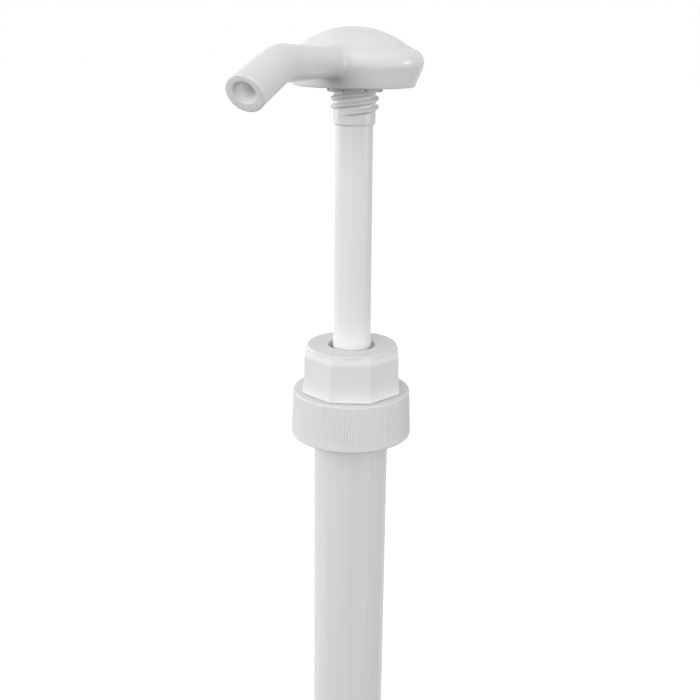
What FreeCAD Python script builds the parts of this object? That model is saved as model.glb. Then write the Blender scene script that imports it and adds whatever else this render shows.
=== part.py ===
import FreeCAD, Part
import math
import os

# Hand pump for a jug with a 38 mm screw neck. Millimetres, +Z up. The origin is on the
# pump's axis in the plane where the neck gasket lies on the jug. The spout points to -Y.
# The pump stands at the top of its stroke. Screw threads are left off: plain clearance
# surfaces stand where they run.

# ---------------------------------------------------------------- driving dimensions
# closure
neck_thread_radius = 18.75        # jug's neck, over its thread
cap_wall = 2.0
cap_draft = 0.7                   # narrower by this at the top
cap_skirt_depth = 11.4            # skirt below the neck's sealing plane
cap_plate_thickness = 1.6
cap_shoulder_round = 0.8
cap_rim_band = 1.6                # plain band under the ribs
cap_rib_count = 138
cap_groove_depth = 0.34
cap_groove_share = 0.62           # share of the rib pitch that a groove takes

# gasket and barrel
gasket_thickness = 1.5
flange_thickness = 1.6
barrel_bore_radius = 11.5
barrel_wall = 1.57
barrel_neck_height = 7.9          # above the flange
barrel_floor_depth = 126.0        # below the sealing plane, where the bore ends
barrel_shoulder_round = 1.5
foot_wall = 2.0
foot_end_wall = 1.95
socket_depth = 13.5
vent_radius = 1.0
vent_depth = 6.0                  # below the sealing plane

# nut
nut_height = 15.8
nut_sides = 8
nut_wall = 1.8                    # at the middle of a flat, above the flare
nut_taper = 0.35                  # narrower by this at the top
nut_flare = 0.5                   # wider by this at the foot
nut_flare_height = 1.6
nut_corner_round = 0.7
nut_disc_inset = 0.65             # round top inside the flats
nut_disc_edge = 1.0               # upright edge of the round top
nut_disc_undercut = 0.1
nut_chamfer_fall = 37.0           # degrees below level
nut_plate_thickness = 2.3
nut_hub_wall = 2.2
nut_rib_thickness = 1.1
nut_rib_count = 4
nut_hole_bevel = 0.15
nut_turn = 20.0                   # degrees, the way the nut came to rest when tightened

# stem, its guide and wiper
stem_foot_radius = 6.70
stem_top_radius = 6.00
stem_wall = 1.9
guide_depth = 3.0                 # sleeve's end below the sealing plane
guide_flange_thickness = 1.2
guide_recess_depth = 3.7
guide_wall = 1.6
guide_web = 2.5                   # between the wiper's pocket and the coring
wiper_thickness = 1.6
wiper_width = 1.3                 # wider than the recess above it by this
wiper_lip = 0.5
vent_groove_width = 1.6
vent_groove_depth = 0.6
vent_groove_count = 4

# lock plug
plug_rest_height = 74.7           # plug's lower end above the nut at the top of the stroke
plug_length = 10.4
plug_wall = 0.85
plug_flange_thickness = 2.0
plug_flange_width = 2.25
plug_lug_count = 8
plug_lug_turn = -0.6              # degrees
plug_notch_width = 0.9
plug_notch_depth = 1.1
plug_end_chamfer = 0.5
lock_thread_height = 1.0

# head
head_height = 18.25               # rim to crown
head_crown_radius = 29.0
head_crown_share = 0.86           # share of the rim's half width where the brim starts
head_brim_fall = 25.4             # degrees below level
head_brim_blend = 15.0
head_edge_round = 3.8
head_rim_half_width = 20.0
head_skirt_lean = 22.2            # degrees from upright
head_narrowness = 0.82            # length along the spout over width across it
head_forward = 1.2                # the pad's middle lies this far towards the spout
head_wall = 1.8
head_socket_depth = 3.8
head_rib_thickness = 1.2
head_rib_count = 4
head_rib_rise = 2.6               # ribs stop this far above the rim
plug_flange_drop = 1.8            # plug's flange shows this far below the rim

# spout
spout_root_above_rim = 6.95       # spout's centre line at the pump's axis
spout_climb = 2.1                 # degrees above level, from the pad to the bend
spout_fall = 18.6                 # degrees below level, from the bend to the mouth
spout_reach_to_bend = 56.6
spout_bend_radius = 22.0
spout_nozzle_length = 21.6
spout_mouth_angle = 34.6          # way the cut face looks, degrees below level
spout_root_radius = 4.1
spout_bend_outer_radius = 5.25
spout_mouth_outer_radius = 5.45
channel_radius = 2.6
channel_bend_radius = 2.65
channel_mouth_radius = 3.0

# piston and upper valve
carrier_flange_thickness = 1.8
carrier_socket_depth = 10.9
carrier_wall = 1.6
carrier_flange_room = 1.3         # flanges inside the bore
carrier_seal_room = 11.2          # between the flanges
tail_length = 4.0
tail_wall = 2.0
seal_lip_length = 3.6
seal_lip_thickness = 1.15
seal_waist = 0.9                  # waist inside the bore
seal_groove_share = 0.75          # share of the lip's length
seal_land_share = 0.45            # share of the lip's length that lies on the bore
seal_chamfer = 0.5
outlet_ball_radius = 3.6
outlet_ball_lift = 3.0
stop_height = 4.0
stop_wall = 1.0
stop_bar = 1.4
stop_blade_count = 4

# spring
spring_wire_radius = 0.65
spring_mean_radius = 8.6
spring_turns = 10

# lower valve and dip tube
inlet_ball_radius = 4.0
inlet_ball_lift = 3.1
inlet_chamber_room = 1.0          # round the ball
inlet_chamber_height = 1.5
seat_half_angle = 30.0
seat_land = 0.5                   # ball's contact circle outside the port
port_length = 1.2
cage_ring_thickness = 2.1
cage_underside_rise = 0.4         # above the barrel's floor
cage_spigot_height = 4.0
cage_spigot_wall = 1.4
cage_foot_width = 1.2
cage_arm_width = 1.6
cage_arm_count = 4
cage_pin_radius = 1.8
dip_tube_radius = 4.75
dip_tube_wall = 1.0
dip_tube_end_depth = 245.0        # below the sealing plane
dip_tube_notch = 4.0

# clearances
neck_gap = 0.35                   # closure round the jug's thread
flange_gap = 1.2                  # barrel's flange in the closure
slide_gap = 0.08                  # stem in its guide, at the stem's widest
piston_gap = 0.05                 # seal lips and guide sleeve in the bore
press_gap = 0.02                  # parts pushed together
spin_gap = 0.1                    # closure's plate above the flange
nut_gap = 0.3                     # nut above the closure
hole_gap = 0.43                   # closure's hole round the barrel's neck
nut_thread_room = 1.53            # nut round the barrel's neck, for their thread
plug_gap = 0.25                   # plug in the guide's recess, plug's thread in the nut
boss_gap = 0.2                    # head's boss inside the plug's flange
spring_gap = 0.35                 # spigots inside the spring
ball_gap = 0.05                   # ball above its seat
stop_gap = 0.15                   # stop beyond a ball's lift
wiper_gap = 0.1
seal_end_gap = 0.1
guide_piston_gap = 0.6

# edges
edge_round = 0.3
rim_round = 0.5
overshoot = 0.3                   # cutters reach past what they cut by this
same_place = 1e-6                 # points closer than this are one

# ---------------------------------------------------------------- derived sizes
cap_bore_radius = neck_thread_radius + neck_gap
cap_rim_radius = cap_bore_radius + cap_wall
cap_top_radius = cap_rim_radius - cap_draft
flange_radius = cap_bore_radius - flange_gap
barrel_radius = barrel_bore_radius + barrel_wall
nut_bore_radius = barrel_radius + nut_thread_room
nut_apothem = nut_bore_radius + nut_wall
nut_top_apothem = nut_apothem - nut_taper
nut_disc_radius = nut_top_apothem - nut_disc_inset
plug_radius = stem_top_radius + plug_wall
plug_flange_radius = plug_radius + plug_flange_width
nut_hole_radius = plug_radius + lock_thread_height + plug_gap
guide_recess_radius = plug_radius + plug_gap
wiper_radius = guide_recess_radius + wiper_width
boss_radius = plug_flange_radius - boss_gap
stem_foot_bore = stem_foot_radius - stem_wall
stem_top_bore = stem_top_radius - stem_wall
sleeve_radius = barrel_bore_radius - piston_gap
carrier_radius = stem_foot_radius + carrier_wall
carrier_flange_radius = barrel_bore_radius - carrier_flange_room
tail_radius = spring_mean_radius - spring_wire_radius - spring_gap
seat_angle = math.radians(seat_half_angle)
outlet_port_radius = outlet_ball_radius * math.cos(seat_angle) - seat_land
inlet_port_radius = inlet_ball_radius * math.cos(seat_angle) - seat_land
inlet_chamber_radius = inlet_ball_radius + inlet_chamber_room
foot_radius = inlet_chamber_radius + foot_wall
foot_end_radius = dip_tube_radius + foot_end_wall

# ---------------------------------------------------------------- derived heights
flange_bottom = gasket_thickness
flange_top = flange_bottom + flange_thickness
neck_top = flange_top + barrel_neck_height
cap_bottom = -cap_skirt_depth
cap_plate_bottom = flange_top + spin_gap
cap_top = cap_plate_bottom + cap_plate_thickness
nut_bottom = cap_top + nut_gap
nut_top = nut_bottom + nut_height
nut_plate_bottom = nut_top - nut_plate_thickness
guide_bottom = -guide_depth
guide_flange_top = neck_top + guide_flange_thickness
guide_recess_floor = guide_flange_top - guide_recess_depth
wiper_top = guide_recess_floor - wiper_gap
wiper_bottom = wiper_top - wiper_thickness
wiper_pocket_bottom = wiper_bottom - wiper_gap
plug_bottom = nut_top + plug_rest_height
plug_flange_bottom = plug_bottom + plug_length
plug_flange_top = plug_flange_bottom + plug_flange_thickness
rim_height = plug_flange_bottom + plug_flange_drop
crown_height = rim_height + head_height
stem_top = plug_flange_top + head_socket_depth
spout_height = rim_height + spout_root_above_rim
carrier_top = guide_bottom - guide_piston_gap
socket_floor = carrier_top - carrier_socket_depth
seal_top = carrier_top - carrier_flange_thickness - seal_end_gap
seal_bottom = seal_top - carrier_seal_room + 2 * seal_end_gap
carrier_bottom = seal_bottom - seal_end_gap - carrier_flange_thickness
tail_bottom = carrier_bottom - tail_length
outlet_seat_top = socket_floor - overshoot
outlet_port_top = outlet_seat_top - (stem_foot_bore - outlet_port_radius) / math.tan(seat_angle)
floor_height = -barrel_floor_depth
cage_top = floor_height + cage_ring_thickness
shoulder_height = floor_height - barrel_wall * math.tan(math.radians(22.5))
foot_top = shoulder_height - (barrel_radius - foot_radius)
chamber_top = floor_height - (barrel_bore_radius - inlet_chamber_radius)
inlet_seat_top = chamber_top - inlet_chamber_height
inlet_port_top = inlet_seat_top - (inlet_chamber_radius - inlet_port_radius) / math.tan(seat_angle)
web_bottom = inlet_port_top - port_length
foot_end = web_bottom - socket_depth


def seated_ball_height(ball_radius, port_radius, port_top):
    """Centre of a ball lying on the cone that opens above a port."""
    apex = port_top - port_radius / math.tan(seat_angle)
    return apex + ball_radius / math.sin(seat_angle) + ball_gap


outlet_ball_height = seated_ball_height(outlet_ball_radius, outlet_port_radius, outlet_port_top)
inlet_ball_height = seated_ball_height(inlet_ball_radius, inlet_port_radius, inlet_port_top)


# ---------------------------------------------------------------- helpers
def vec(x, y, z):
    return FreeCAD.Vector(x, y, z)


def rounded_wire(corners):
    """Closed wire in the XZ plane through (r, z) corners; a third number rounds a corner."""
    count = len(corners)
    points = [vec(corner[0], 0, corner[1]) for corner in corners]
    arrivals = []
    departures = []
    arcs = []
    for index in range(count):
        here = points[index]
        radius = corners[index][2] if len(corners[index]) > 2 else 0.0
        if radius == 0.0:
            arrivals.append(here)
            departures.append(here)
            arcs.append(None)
            continue
        back = (points[index - 1] - here).normalize()
        ahead = (points[(index + 1) % count] - here).normalize()
        half = back.getAngle(ahead) / 2
        bisector = (back + ahead).normalize()
        start = here + back * (radius / math.tan(half))
        finish = here + ahead * (radius / math.tan(half))
        middle = here + bisector * (radius / math.sin(half) - radius)
        arrivals.append(start)
        departures.append(finish)
        arcs.append(Part.Arc(start, middle, finish).toShape())
    edges = []
    for index in range(count):
        if arcs[index] is not None:
            edges.append(arcs[index])
        start = departures[index]
        finish = arrivals[(index + 1) % count]
        if start.distanceToPoint(finish) > same_place:
            edges.append(Part.LineSegment(start, finish).toShape())
    return Part.Wire(edges)


def turned(corners):
    """Solid of revolution about Z of a closed (r, z) outline."""
    face = Part.Face(rounded_wire(corners))
    return face.revolve(vec(0, 0, 0), vec(0, 0, 1), 360)


def rod(radius, bottom, top):
    return Part.makeCylinder(radius, top - bottom, vec(0, 0, bottom))


def ring(inner, outer, bottom, top):
    return rod(outer, bottom, top).cut(rod(inner, bottom, top))


def frustum(radius_bottom, radius_top, bottom, top):
    if abs(radius_bottom - radius_top) < same_place:
        return rod(radius_bottom, bottom, top)
    return Part.makeCone(radius_bottom, radius_top, top - bottom, vec(0, 0, bottom))


def spoke(inner, outer, width, bottom, top):
    """Block along +X, between two distances from the axis."""
    return Part.makeBox(outer - inner, width, top - bottom, vec(inner, -width / 2, bottom))


def patterned(shape, count, first=0.0):
    """Copies of a shape, evenly round the axis."""
    copies = []
    for index in range(count):
        copy = shape.copy()
        copy.rotate(vec(0, 0, 0), vec(0, 0, 1), first + 360.0 * index / count)
        copies.append(copy)
    return copies


def rounded_polygon(sides, apothem, corner_round, height, turn):
    """Level polygon wire with rounded corners, a flat facing -Y before it is turned."""
    half = math.pi / sides
    reach = (apothem - corner_round) * math.tan(half)
    corner_reach = (apothem - corner_round) / math.cos(half) + corner_round
    lift = vec(0, 0, height)
    edges = []
    for index in range(sides):
        angle = math.radians(turn - 90.0) + 2 * half * index
        outward = vec(math.cos(angle), math.sin(angle), 0)
        along = vec(-math.sin(angle), math.cos(angle), 0)
        start = outward * apothem - along * reach + lift
        finish = outward * apothem + along * reach + lift
        corner = vec(math.cos(angle + half), math.sin(angle + half), 0) * corner_reach + lift
        next_outward = vec(math.cos(angle + 2 * half), math.sin(angle + 2 * half), 0)
        next_along = vec(-math.sin(angle + 2 * half), math.cos(angle + 2 * half), 0)
        next_start = next_outward * apothem - next_along * reach + lift
        edges.append(Part.LineSegment(start, finish).toShape())
        edges.append(Part.Arc(finish, corner, next_start).toShape())
    return Part.Wire(edges)


def stem_share(height):
    """How far up the stem a height lies, 0 at its foot and 1 at its top."""
    return (height - socket_floor) / (stem_top - socket_floor)


def stem_radius(height):
    """Outside radius of the drafted stem at a height."""
    return stem_foot_radius + (stem_top_radius - stem_foot_radius) * stem_share(height)


def stem_bore_radius(height):
    return stem_foot_bore + (stem_top_bore - stem_foot_bore) * stem_share(height)


def around_stem(gap, bottom, top):
    """Tapered rod that encloses the stem with a gap between two heights."""
    return frustum(stem_radius(bottom) + gap, stem_radius(top) + gap, bottom, top)


def inside_stem(gap, bottom, top):
    """Tapered rod that fills the stem's bore, less a gap, between two heights."""
    return frustum(stem_bore_radius(bottom) - gap, stem_bore_radius(top) - gap, bottom, top)


def save(name, shape):
    assert shape.isValid(), name
    shape.exportStep("parts/" + name + ".step")


# ---------------------------------------------------------------- closure
def make_screw_cap():
    """Ribbed closure: drafted skirt, rounded shoulder, plain band at the rim."""
    hole_radius = barrel_radius + hole_gap
    cap = turned([
        (hole_radius, cap_plate_bottom),
        (hole_radius, cap_top, edge_round),
        (cap_top_radius, cap_top, cap_shoulder_round),
        (cap_rim_radius, cap_bottom, rim_round),
        (cap_bore_radius, cap_bottom, edge_round),
        (cap_bore_radius, cap_plate_bottom, rim_round),
    ])
    skirt_slope = cap_draft / (cap_top - cap_bottom)
    pitch = 2 * math.pi * cap_rim_radius / cap_rib_count
    half_width = cap_groove_share * pitch / 2
    spread = half_width * (cap_groove_depth + overshoot) / cap_groove_depth
    sections = []
    for height in (cap_bottom + cap_rim_band, cap_top + overshoot):
        surface = cap_rim_radius - skirt_slope * (height - cap_bottom)
        root = vec(surface - cap_groove_depth, 0, height)
        left = vec(surface + overshoot, -spread, height)
        right = vec(surface + overshoot, spread, height)
        sections.append(Part.makePolygon([root, left, right, root]))
    groove = Part.makeLoft(sections, True, True)
    return cap.cut(Part.makeCompound(patterned(groove, cap_rib_count)))


def make_neck_gasket():
    """Flat ring between the barrel's flange and the jug's neck."""
    return ring(barrel_radius + press_gap, flange_radius, 0, gasket_thickness)


# ---------------------------------------------------------------- barrel
def make_barrel():
    """Pump cylinder with its flange, neck, cone, lower valve seat and tube socket."""
    barrel = turned([
        (barrel_bore_radius, neck_top, edge_round),
        (barrel_radius, neck_top, edge_round),
        (barrel_radius, flange_top),
        (flange_radius, flange_top, edge_round),
        (flange_radius, flange_bottom, edge_round),
        (barrel_radius, flange_bottom),
        (barrel_radius, shoulder_height, barrel_shoulder_round),
        (foot_radius, foot_top, 2 * rim_round),
        (foot_end_radius, foot_end, edge_round),
        (dip_tube_radius + press_gap, foot_end, edge_round),
        (dip_tube_radius + press_gap, web_bottom),
        (inlet_port_radius, web_bottom),
        (inlet_port_radius, inlet_port_top),
        (inlet_chamber_radius, inlet_seat_top),
        (inlet_chamber_radius, chamber_top),
        (barrel_bore_radius, floor_height),
    ])
    vent_start = vec(0, barrel_bore_radius - barrel_wall, -vent_depth)
    vent = Part.makeCylinder(vent_radius, 3 * barrel_wall, vent_start, vec(0, 1, 0))
    return barrel.cut(vent)


# ---------------------------------------------------------------- lock nut
def make_lock_nut():
    """Eight-sided nut, chamfered to a round top, with a hub round the plug's hole."""
    levels = [
        (nut_apothem + nut_flare, nut_bottom),
        (nut_apothem, nut_bottom + nut_flare_height),
        (nut_top_apothem, nut_top),
    ]
    sections = []
    for apothem, height in levels:
        sections.append(rounded_polygon(nut_sides, apothem, nut_corner_round, height, nut_turn))
    body = Part.makeLoft(sections, True, True)
    disc_bottom = nut_top - nut_disc_edge
    cone_radius = (nut_apothem + nut_flare) / math.cos(math.pi / nut_sides) + overshoot
    cone_drop = (cone_radius - nut_disc_radius) * math.tan(math.radians(nut_chamfer_fall))
    envelope = turned([
        (0, nut_bottom),
        (cone_radius, nut_bottom),
        (cone_radius, disc_bottom - cone_drop),
        (nut_disc_radius - nut_disc_undercut, disc_bottom, rim_round),
        (nut_disc_radius, nut_top, rim_round),
        (0, nut_top),
    ])
    body = body.common(envelope)
    body = body.cut(rod(nut_bore_radius, nut_bottom, nut_plate_bottom))
    hub_radius = nut_hole_radius + nut_hub_wall
    hub = rod(hub_radius, guide_flange_top, nut_plate_bottom)
    room = rod(nut_bore_radius, guide_flange_top, nut_plate_bottom)
    rib = spoke(0, nut_apothem, nut_rib_thickness, guide_flange_top, nut_plate_bottom).common(room)
    body = body.fuse([hub] + patterned(rib, nut_rib_count, nut_turn))
    hole = turned([
        (0, guide_flange_top),
        (nut_hole_radius, guide_flange_top),
        (nut_hole_radius, nut_top - nut_hole_bevel),
        (nut_hole_radius + nut_hole_bevel, nut_top),
        (0, nut_top),
    ])
    return body.cut(hole).removeSplitter()


# ---------------------------------------------------------------- stem and guide
def make_stem():
    """Long drafted tube."""
    outside = around_stem(0, socket_floor, stem_top)
    return outside.cut(inside_stem(0, socket_floor, stem_top))


def make_stem_guide():
    """Flanged bush in the barrel's mouth, cored from below, with air grooves outside."""
    bore_radius = stem_radius(guide_bottom) + slide_gap
    coring_inner = bore_radius + guide_wall
    coring_outer = sleeve_radius - guide_wall
    coring_top = wiper_pocket_bottom - guide_web
    bush = turned([
        (bore_radius, guide_bottom, edge_round),
        (coring_inner, guide_bottom),
        (coring_inner, coring_top),
        (coring_outer, coring_top),
        (coring_outer, guide_bottom),
        (sleeve_radius, guide_bottom, edge_round),
        (sleeve_radius, neck_top),
        (barrel_radius, neck_top),
        (barrel_radius, guide_flange_top, edge_round),
        (guide_recess_radius, guide_flange_top, edge_round),
        (guide_recess_radius, guide_recess_floor),
        (wiper_radius + press_gap, guide_recess_floor),
        (wiper_radius + press_gap, wiper_pocket_bottom),
        (bore_radius, wiper_pocket_bottom),
    ])
    groove_floor = sleeve_radius - vent_groove_depth
    groove = spoke(groove_floor, barrel_radius, vent_groove_width, guide_bottom, neck_top)
    return bush.cut(patterned(groove, vent_groove_count, 180.0 / vent_groove_count))


def make_stem_wiper():
    """Soft ring with a thin lip on the stem."""
    lip = stem_radius(wiper_bottom) + piston_gap
    return turned([
        (lip + 2 * wiper_lip, wiper_bottom),
        (wiper_radius, wiper_bottom, edge_round),
        (wiper_radius, wiper_top, edge_round),
        (lip + wiper_lip, wiper_top),
        (lip, wiper_top - wiper_lip),
        (lip, wiper_top - 2 * wiper_lip),
    ])


# ---------------------------------------------------------------- lock plug
def make_lock_plug():
    """Sleeve under the head with a flange of lugs."""
    plug = turned([
        (0, plug_bottom),
        (plug_radius - plug_end_chamfer, plug_bottom),
        (plug_radius, plug_bottom + plug_end_chamfer),
        (plug_radius, plug_flange_bottom, edge_round),
        (plug_flange_radius, plug_flange_bottom, edge_round),
        (plug_flange_radius, plug_flange_top),
        (0, plug_flange_top),
    ])
    notch_floor = plug_flange_radius - plug_notch_depth
    notch_end = plug_flange_radius + overshoot
    notch_bottom = plug_flange_bottom - overshoot
    notch_top = plug_flange_top + overshoot
    notch = spoke(notch_floor, notch_end, plug_notch_width, notch_bottom, notch_top)
    plug = plug.cut(patterned(notch, plug_lug_count, plug_lug_turn))
    return plug.cut(around_stem(press_gap, plug_bottom, plug_flange_top))


# ---------------------------------------------------------------- head
def head_profile(inset):
    """Half outline of the pad in the XZ plane, drawn inside the real one by inset.

    It runs from the crown along an arc, a hollow blend, the sloping brim, the rounded
    edge and the leaning skirt to the rim. An inset outline runs on below the rim.
    """
    fall = math.radians(head_brim_fall)
    lean = math.radians(head_skirt_lean)
    brim_way = vec(math.cos(fall), 0, -math.sin(fall))
    brim_normal = vec(math.sin(fall), 0, math.cos(fall))
    skirt_way = vec(-math.sin(lean), 0, -math.cos(lean))
    skirt_normal = vec(math.cos(lean), 0, -math.sin(lean))
    dome_centre = vec(0, 0, crown_height - head_crown_radius)
    dome_radius = head_crown_radius - inset
    crown_reach = head_crown_share * head_rim_half_width
    brim_height = dome_centre.z + math.sqrt(head_crown_radius ** 2 - crown_reach ** 2)
    brim = vec(crown_reach, 0, brim_height) - brim_normal * inset
    foot = vec(head_rim_half_width, 0, rim_height) - skirt_normal * inset
    edge = brim + brim_way * ((foot - brim).dot(skirt_normal) / brim_way.dot(skirt_normal))
    # hollow blend, touching the crown's arc and the brim's line from above
    blend = head_brim_blend + inset
    base = brim + brim_normal * blend - dome_centre
    along = base.dot(brim_way)
    excess = base.dot(base) - (dome_radius + blend) ** 2
    blend_centre = dome_centre + base + brim_way * (math.sqrt(along ** 2 - excess) - along)
    to_dome = (dome_centre - blend_centre).normalize()
    crown_end = blend_centre + to_dome * blend
    blend_middle = blend_centre + (to_dome - brim_normal).normalize() * blend
    brim_start = blend_centre - brim_normal * blend
    # rounded edge between the brim and the skirt
    edge_radius = max(head_edge_round - inset, rim_round)
    half = (brim_way * -1).getAngle(skirt_way) / 2
    setback = edge_radius / math.tan(half)
    edge_start = edge - brim_way * setback
    edge_end = edge + skirt_way * setback
    edge_middle = edge + (skirt_way - brim_way).normalize() * (edge_radius / math.sin(half) - edge_radius)
    tip = dome_centre + vec(0, 0, dome_radius)
    crown_middle = dome_centre + (crown_end + tip - dome_centre * 2).normalize() * dome_radius
    end = foot + skirt_way * (2 * inset)
    axis_end = vec(0, 0, end.z)
    return Part.Wire([
        Part.Arc(tip, crown_middle, crown_end).toShape(),
        Part.Arc(crown_end, blend_middle, brim_start).toShape(),
        Part.LineSegment(brim_start, edge_start).toShape(),
        Part.Arc(edge_start, edge_middle, edge_end).toShape(),
        Part.LineSegment(edge_end, end).toShape(),
        Part.LineSegment(end, axis_end).toShape(),
        Part.LineSegment(axis_end, tip).toShape(),
    ])


def head_form(inset):
    """The pad's oval solid: a turned form narrowed along the spout."""
    form = Part.Face(head_profile(inset)).revolve(vec(0, 0, 0), vec(0, 0, 1), 360)
    narrowing = FreeCAD.Matrix()
    narrowing.A22 = head_narrowness
    form = form.transformGeometry(narrowing)
    form.translate(vec(0, -head_forward, 0))
    return form


climb_angle = math.radians(spout_climb)
fall_angle = math.radians(spout_fall)
spout_setback = spout_bend_radius * math.tan((climb_angle + fall_angle) / 2)
spout_root = vec(0, 0, spout_height)
run_way = vec(0, -math.cos(climb_angle), math.sin(climb_angle))
run_normal = vec(0, math.sin(climb_angle), math.cos(climb_angle))
nozzle_way = vec(0, -math.cos(fall_angle), -math.sin(fall_angle))
spout_corner = spout_root + run_way * (spout_reach_to_bend / math.cos(climb_angle))
mouth_centre = spout_corner + nozzle_way * spout_nozzle_length


def spout_run(root_radius, bend_radius, mouth_radius, extra):
    """Spout-shaped rod: climbing cone, bend and nozzle, running past the mouth by extra."""
    bend_start = spout_corner - run_way * spout_setback
    run_length = bend_start.distanceToPoint(spout_root)
    run = Part.makeCone(root_radius, bend_radius, run_length, spout_root, run_way)
    disc = Part.Face(Part.Wire(Part.Circle(bend_start, run_way, bend_radius).toShape()))
    pivot = bend_start - run_normal * spout_bend_radius
    bend = disc.revolve(pivot, vec(1, 0, 0), spout_climb + spout_fall)
    nozzle_length = spout_nozzle_length - spout_setback
    end_radius = mouth_radius + (mouth_radius - bend_radius) * extra / nozzle_length
    nozzle_start = spout_corner + nozzle_way * spout_setback
    nozzle = Part.makeCone(bend_radius, end_radius, nozzle_length + extra, nozzle_start, nozzle_way)
    return run.fuse([bend, nozzle])


def make_pump_head():
    """Hollow oval pad with its stem socket, ribs and bent spout, moulded in one."""
    outer = head_form(0.0)
    shell = outer.cut(head_form(head_wall))
    boss = rod(boss_radius, plug_flange_top, crown_height).common(outer)
    rib_bottom = rim_height + head_rib_rise
    rib = spoke(0, 2 * head_rim_half_width, head_rib_thickness, rib_bottom, crown_height)
    ribs = []
    for rib in patterned(rib, head_rib_count, 180.0 / head_rib_count):
        ribs.append(rib.common(outer))
    extra = 2 * spout_mouth_outer_radius
    spout = spout_run(spout_root_radius, spout_bend_outer_radius, spout_mouth_outer_radius, extra)
    look = math.radians(spout_mouth_angle)
    facing = vec(0, -math.cos(look), -math.sin(look))
    spout = spout.cut(Part.makeCylinder(2 * extra, 3 * extra, mouth_centre, facing))
    head = shell.fuse([boss, spout] + ribs)
    head = head.cut(around_stem(press_gap, plug_flange_top, stem_top))
    riser = rod(stem_bore_radius(stem_top), stem_top, spout_height + channel_radius)
    channel = spout_run(channel_radius, channel_bend_radius, channel_mouth_radius, extra)
    return head.cut([riser, channel]).removeSplitter()


# ---------------------------------------------------------------- piston and upper valve
def make_piston_carrier():
    """Valve body on the stem's foot: socket, ball seat, seal groove and spring spigot."""
    port_bottom = outlet_port_top - port_length
    body = turned([
        (0, carrier_top),
        (carrier_flange_radius, carrier_top, edge_round),
        (carrier_flange_radius, carrier_top - carrier_flange_thickness, edge_round),
        (carrier_radius, carrier_top - carrier_flange_thickness),
        (carrier_radius, carrier_bottom + carrier_flange_thickness),
        (carrier_flange_radius, carrier_bottom + carrier_flange_thickness, edge_round),
        (carrier_flange_radius, carrier_bottom, edge_round),
        (tail_radius, carrier_bottom),
        (tail_radius, tail_bottom, rim_round),
        (tail_radius - tail_wall, tail_bottom, edge_round),
        (tail_radius - tail_wall, port_bottom),
        (outlet_port_radius, port_bottom),
        (outlet_port_radius, outlet_port_top),
        (stem_foot_bore, outlet_seat_top),
        (stem_foot_bore, socket_floor),
        (0, socket_floor),
    ])
    return body.cut(around_stem(press_gap, socket_floor, carrier_top))


def make_piston_seal():
    """Soft cup with a lip at each end, both on the barrel's bore."""
    inner = carrier_radius + press_gap
    leg = inner + seal_lip_thickness
    groove = (leg + sleeve_radius - seal_lip_thickness) / 2
    groove_depth = seal_groove_share * seal_lip_length
    land = seal_land_share * seal_lip_length
    waist_radius = barrel_bore_radius - seal_waist
    return turned([
        (inner, seal_bottom),
        (leg, seal_bottom, edge_round),
        (groove, seal_bottom + groove_depth, edge_round),
        (sleeve_radius - seal_chamfer, seal_bottom),
        (sleeve_radius, seal_bottom + seal_chamfer),
        (sleeve_radius, seal_bottom + land),
        (waist_radius, seal_bottom + seal_lip_length, edge_round),
        (waist_radius, seal_top - seal_lip_length, edge_round),
        (sleeve_radius, seal_top - land),
        (sleeve_radius, seal_top - seal_chamfer),
        (sleeve_radius - seal_chamfer, seal_top),
        (groove, seal_top - groove_depth, edge_round),
        (leg, seal_top, edge_round),
        (inner, seal_top),
    ])


def make_outlet_ball_stop():
    """Crossed ring pushed into the stem's bore above the ball."""
    bottom = outlet_ball_height + outlet_ball_radius + outlet_ball_lift + stop_gap
    top = bottom + stop_height
    outside = inside_stem(press_gap, bottom, top)
    hoop = outside.cut(inside_stem(press_gap + stop_wall, bottom, top))
    blade = spoke(0, stem_foot_radius, stop_bar, bottom, bottom + stop_height / 2).common(outside)
    return hoop.fuse(patterned(blade, stop_blade_count)).removeSplitter()


# ---------------------------------------------------------------- spring
def make_return_spring():
    """Compression spring with ends ground flat."""
    length = carrier_bottom - cage_top
    helix = Part.makeHelix(length / spring_turns, length + spring_wire_radius, spring_mean_radius)
    wire_centre = vec(spring_mean_radius, 0, 0)
    section = Part.Wire(Part.Circle(wire_centre, vec(0, 1, 0), spring_wire_radius).toShape())
    coil = Part.Wire(helix).makePipeShell([section], True, True)
    coil.translate(vec(0, 0, cage_top - spring_wire_radius / 2))
    return coil.common(rod(2 * spring_mean_radius, cage_top, carrier_bottom))


# ---------------------------------------------------------------- lower valve and dip tube
def make_inlet_ball_cage():
    """Ring on the barrel's cone, arms across it, a pin over the ball, a spigot for the spring."""
    contact = floor_height - piston_gap
    foot_inner = sleeve_radius - cage_foot_width
    port_radius = tail_radius - cage_spigot_wall
    underside = floor_height + cage_underside_rise
    spigot_top = cage_top + cage_spigot_height
    hoop = turned([
        (port_radius, underside),
        (port_radius, spigot_top, edge_round),
        (tail_radius, spigot_top, rim_round),
        (tail_radius, cage_top),
        (sleeve_radius, cage_top, edge_round),
        (sleeve_radius, contact),
        (foot_inner, contact - cage_foot_width),
        (foot_inner - cage_foot_width, underside),
    ])
    pin_bottom = inlet_ball_height + inlet_ball_radius + inlet_ball_lift + stop_gap
    pin = turned([
        (0, pin_bottom),
        (cage_pin_radius, pin_bottom, edge_round),
        (cage_pin_radius, cage_top),
        (0, cage_top),
    ])
    arm = spoke(0, port_radius + cage_spigot_wall / 2, cage_arm_width, underside, cage_top)
    return hoop.fuse(patterned(arm, cage_arm_count) + [pin]).removeSplitter()


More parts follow.
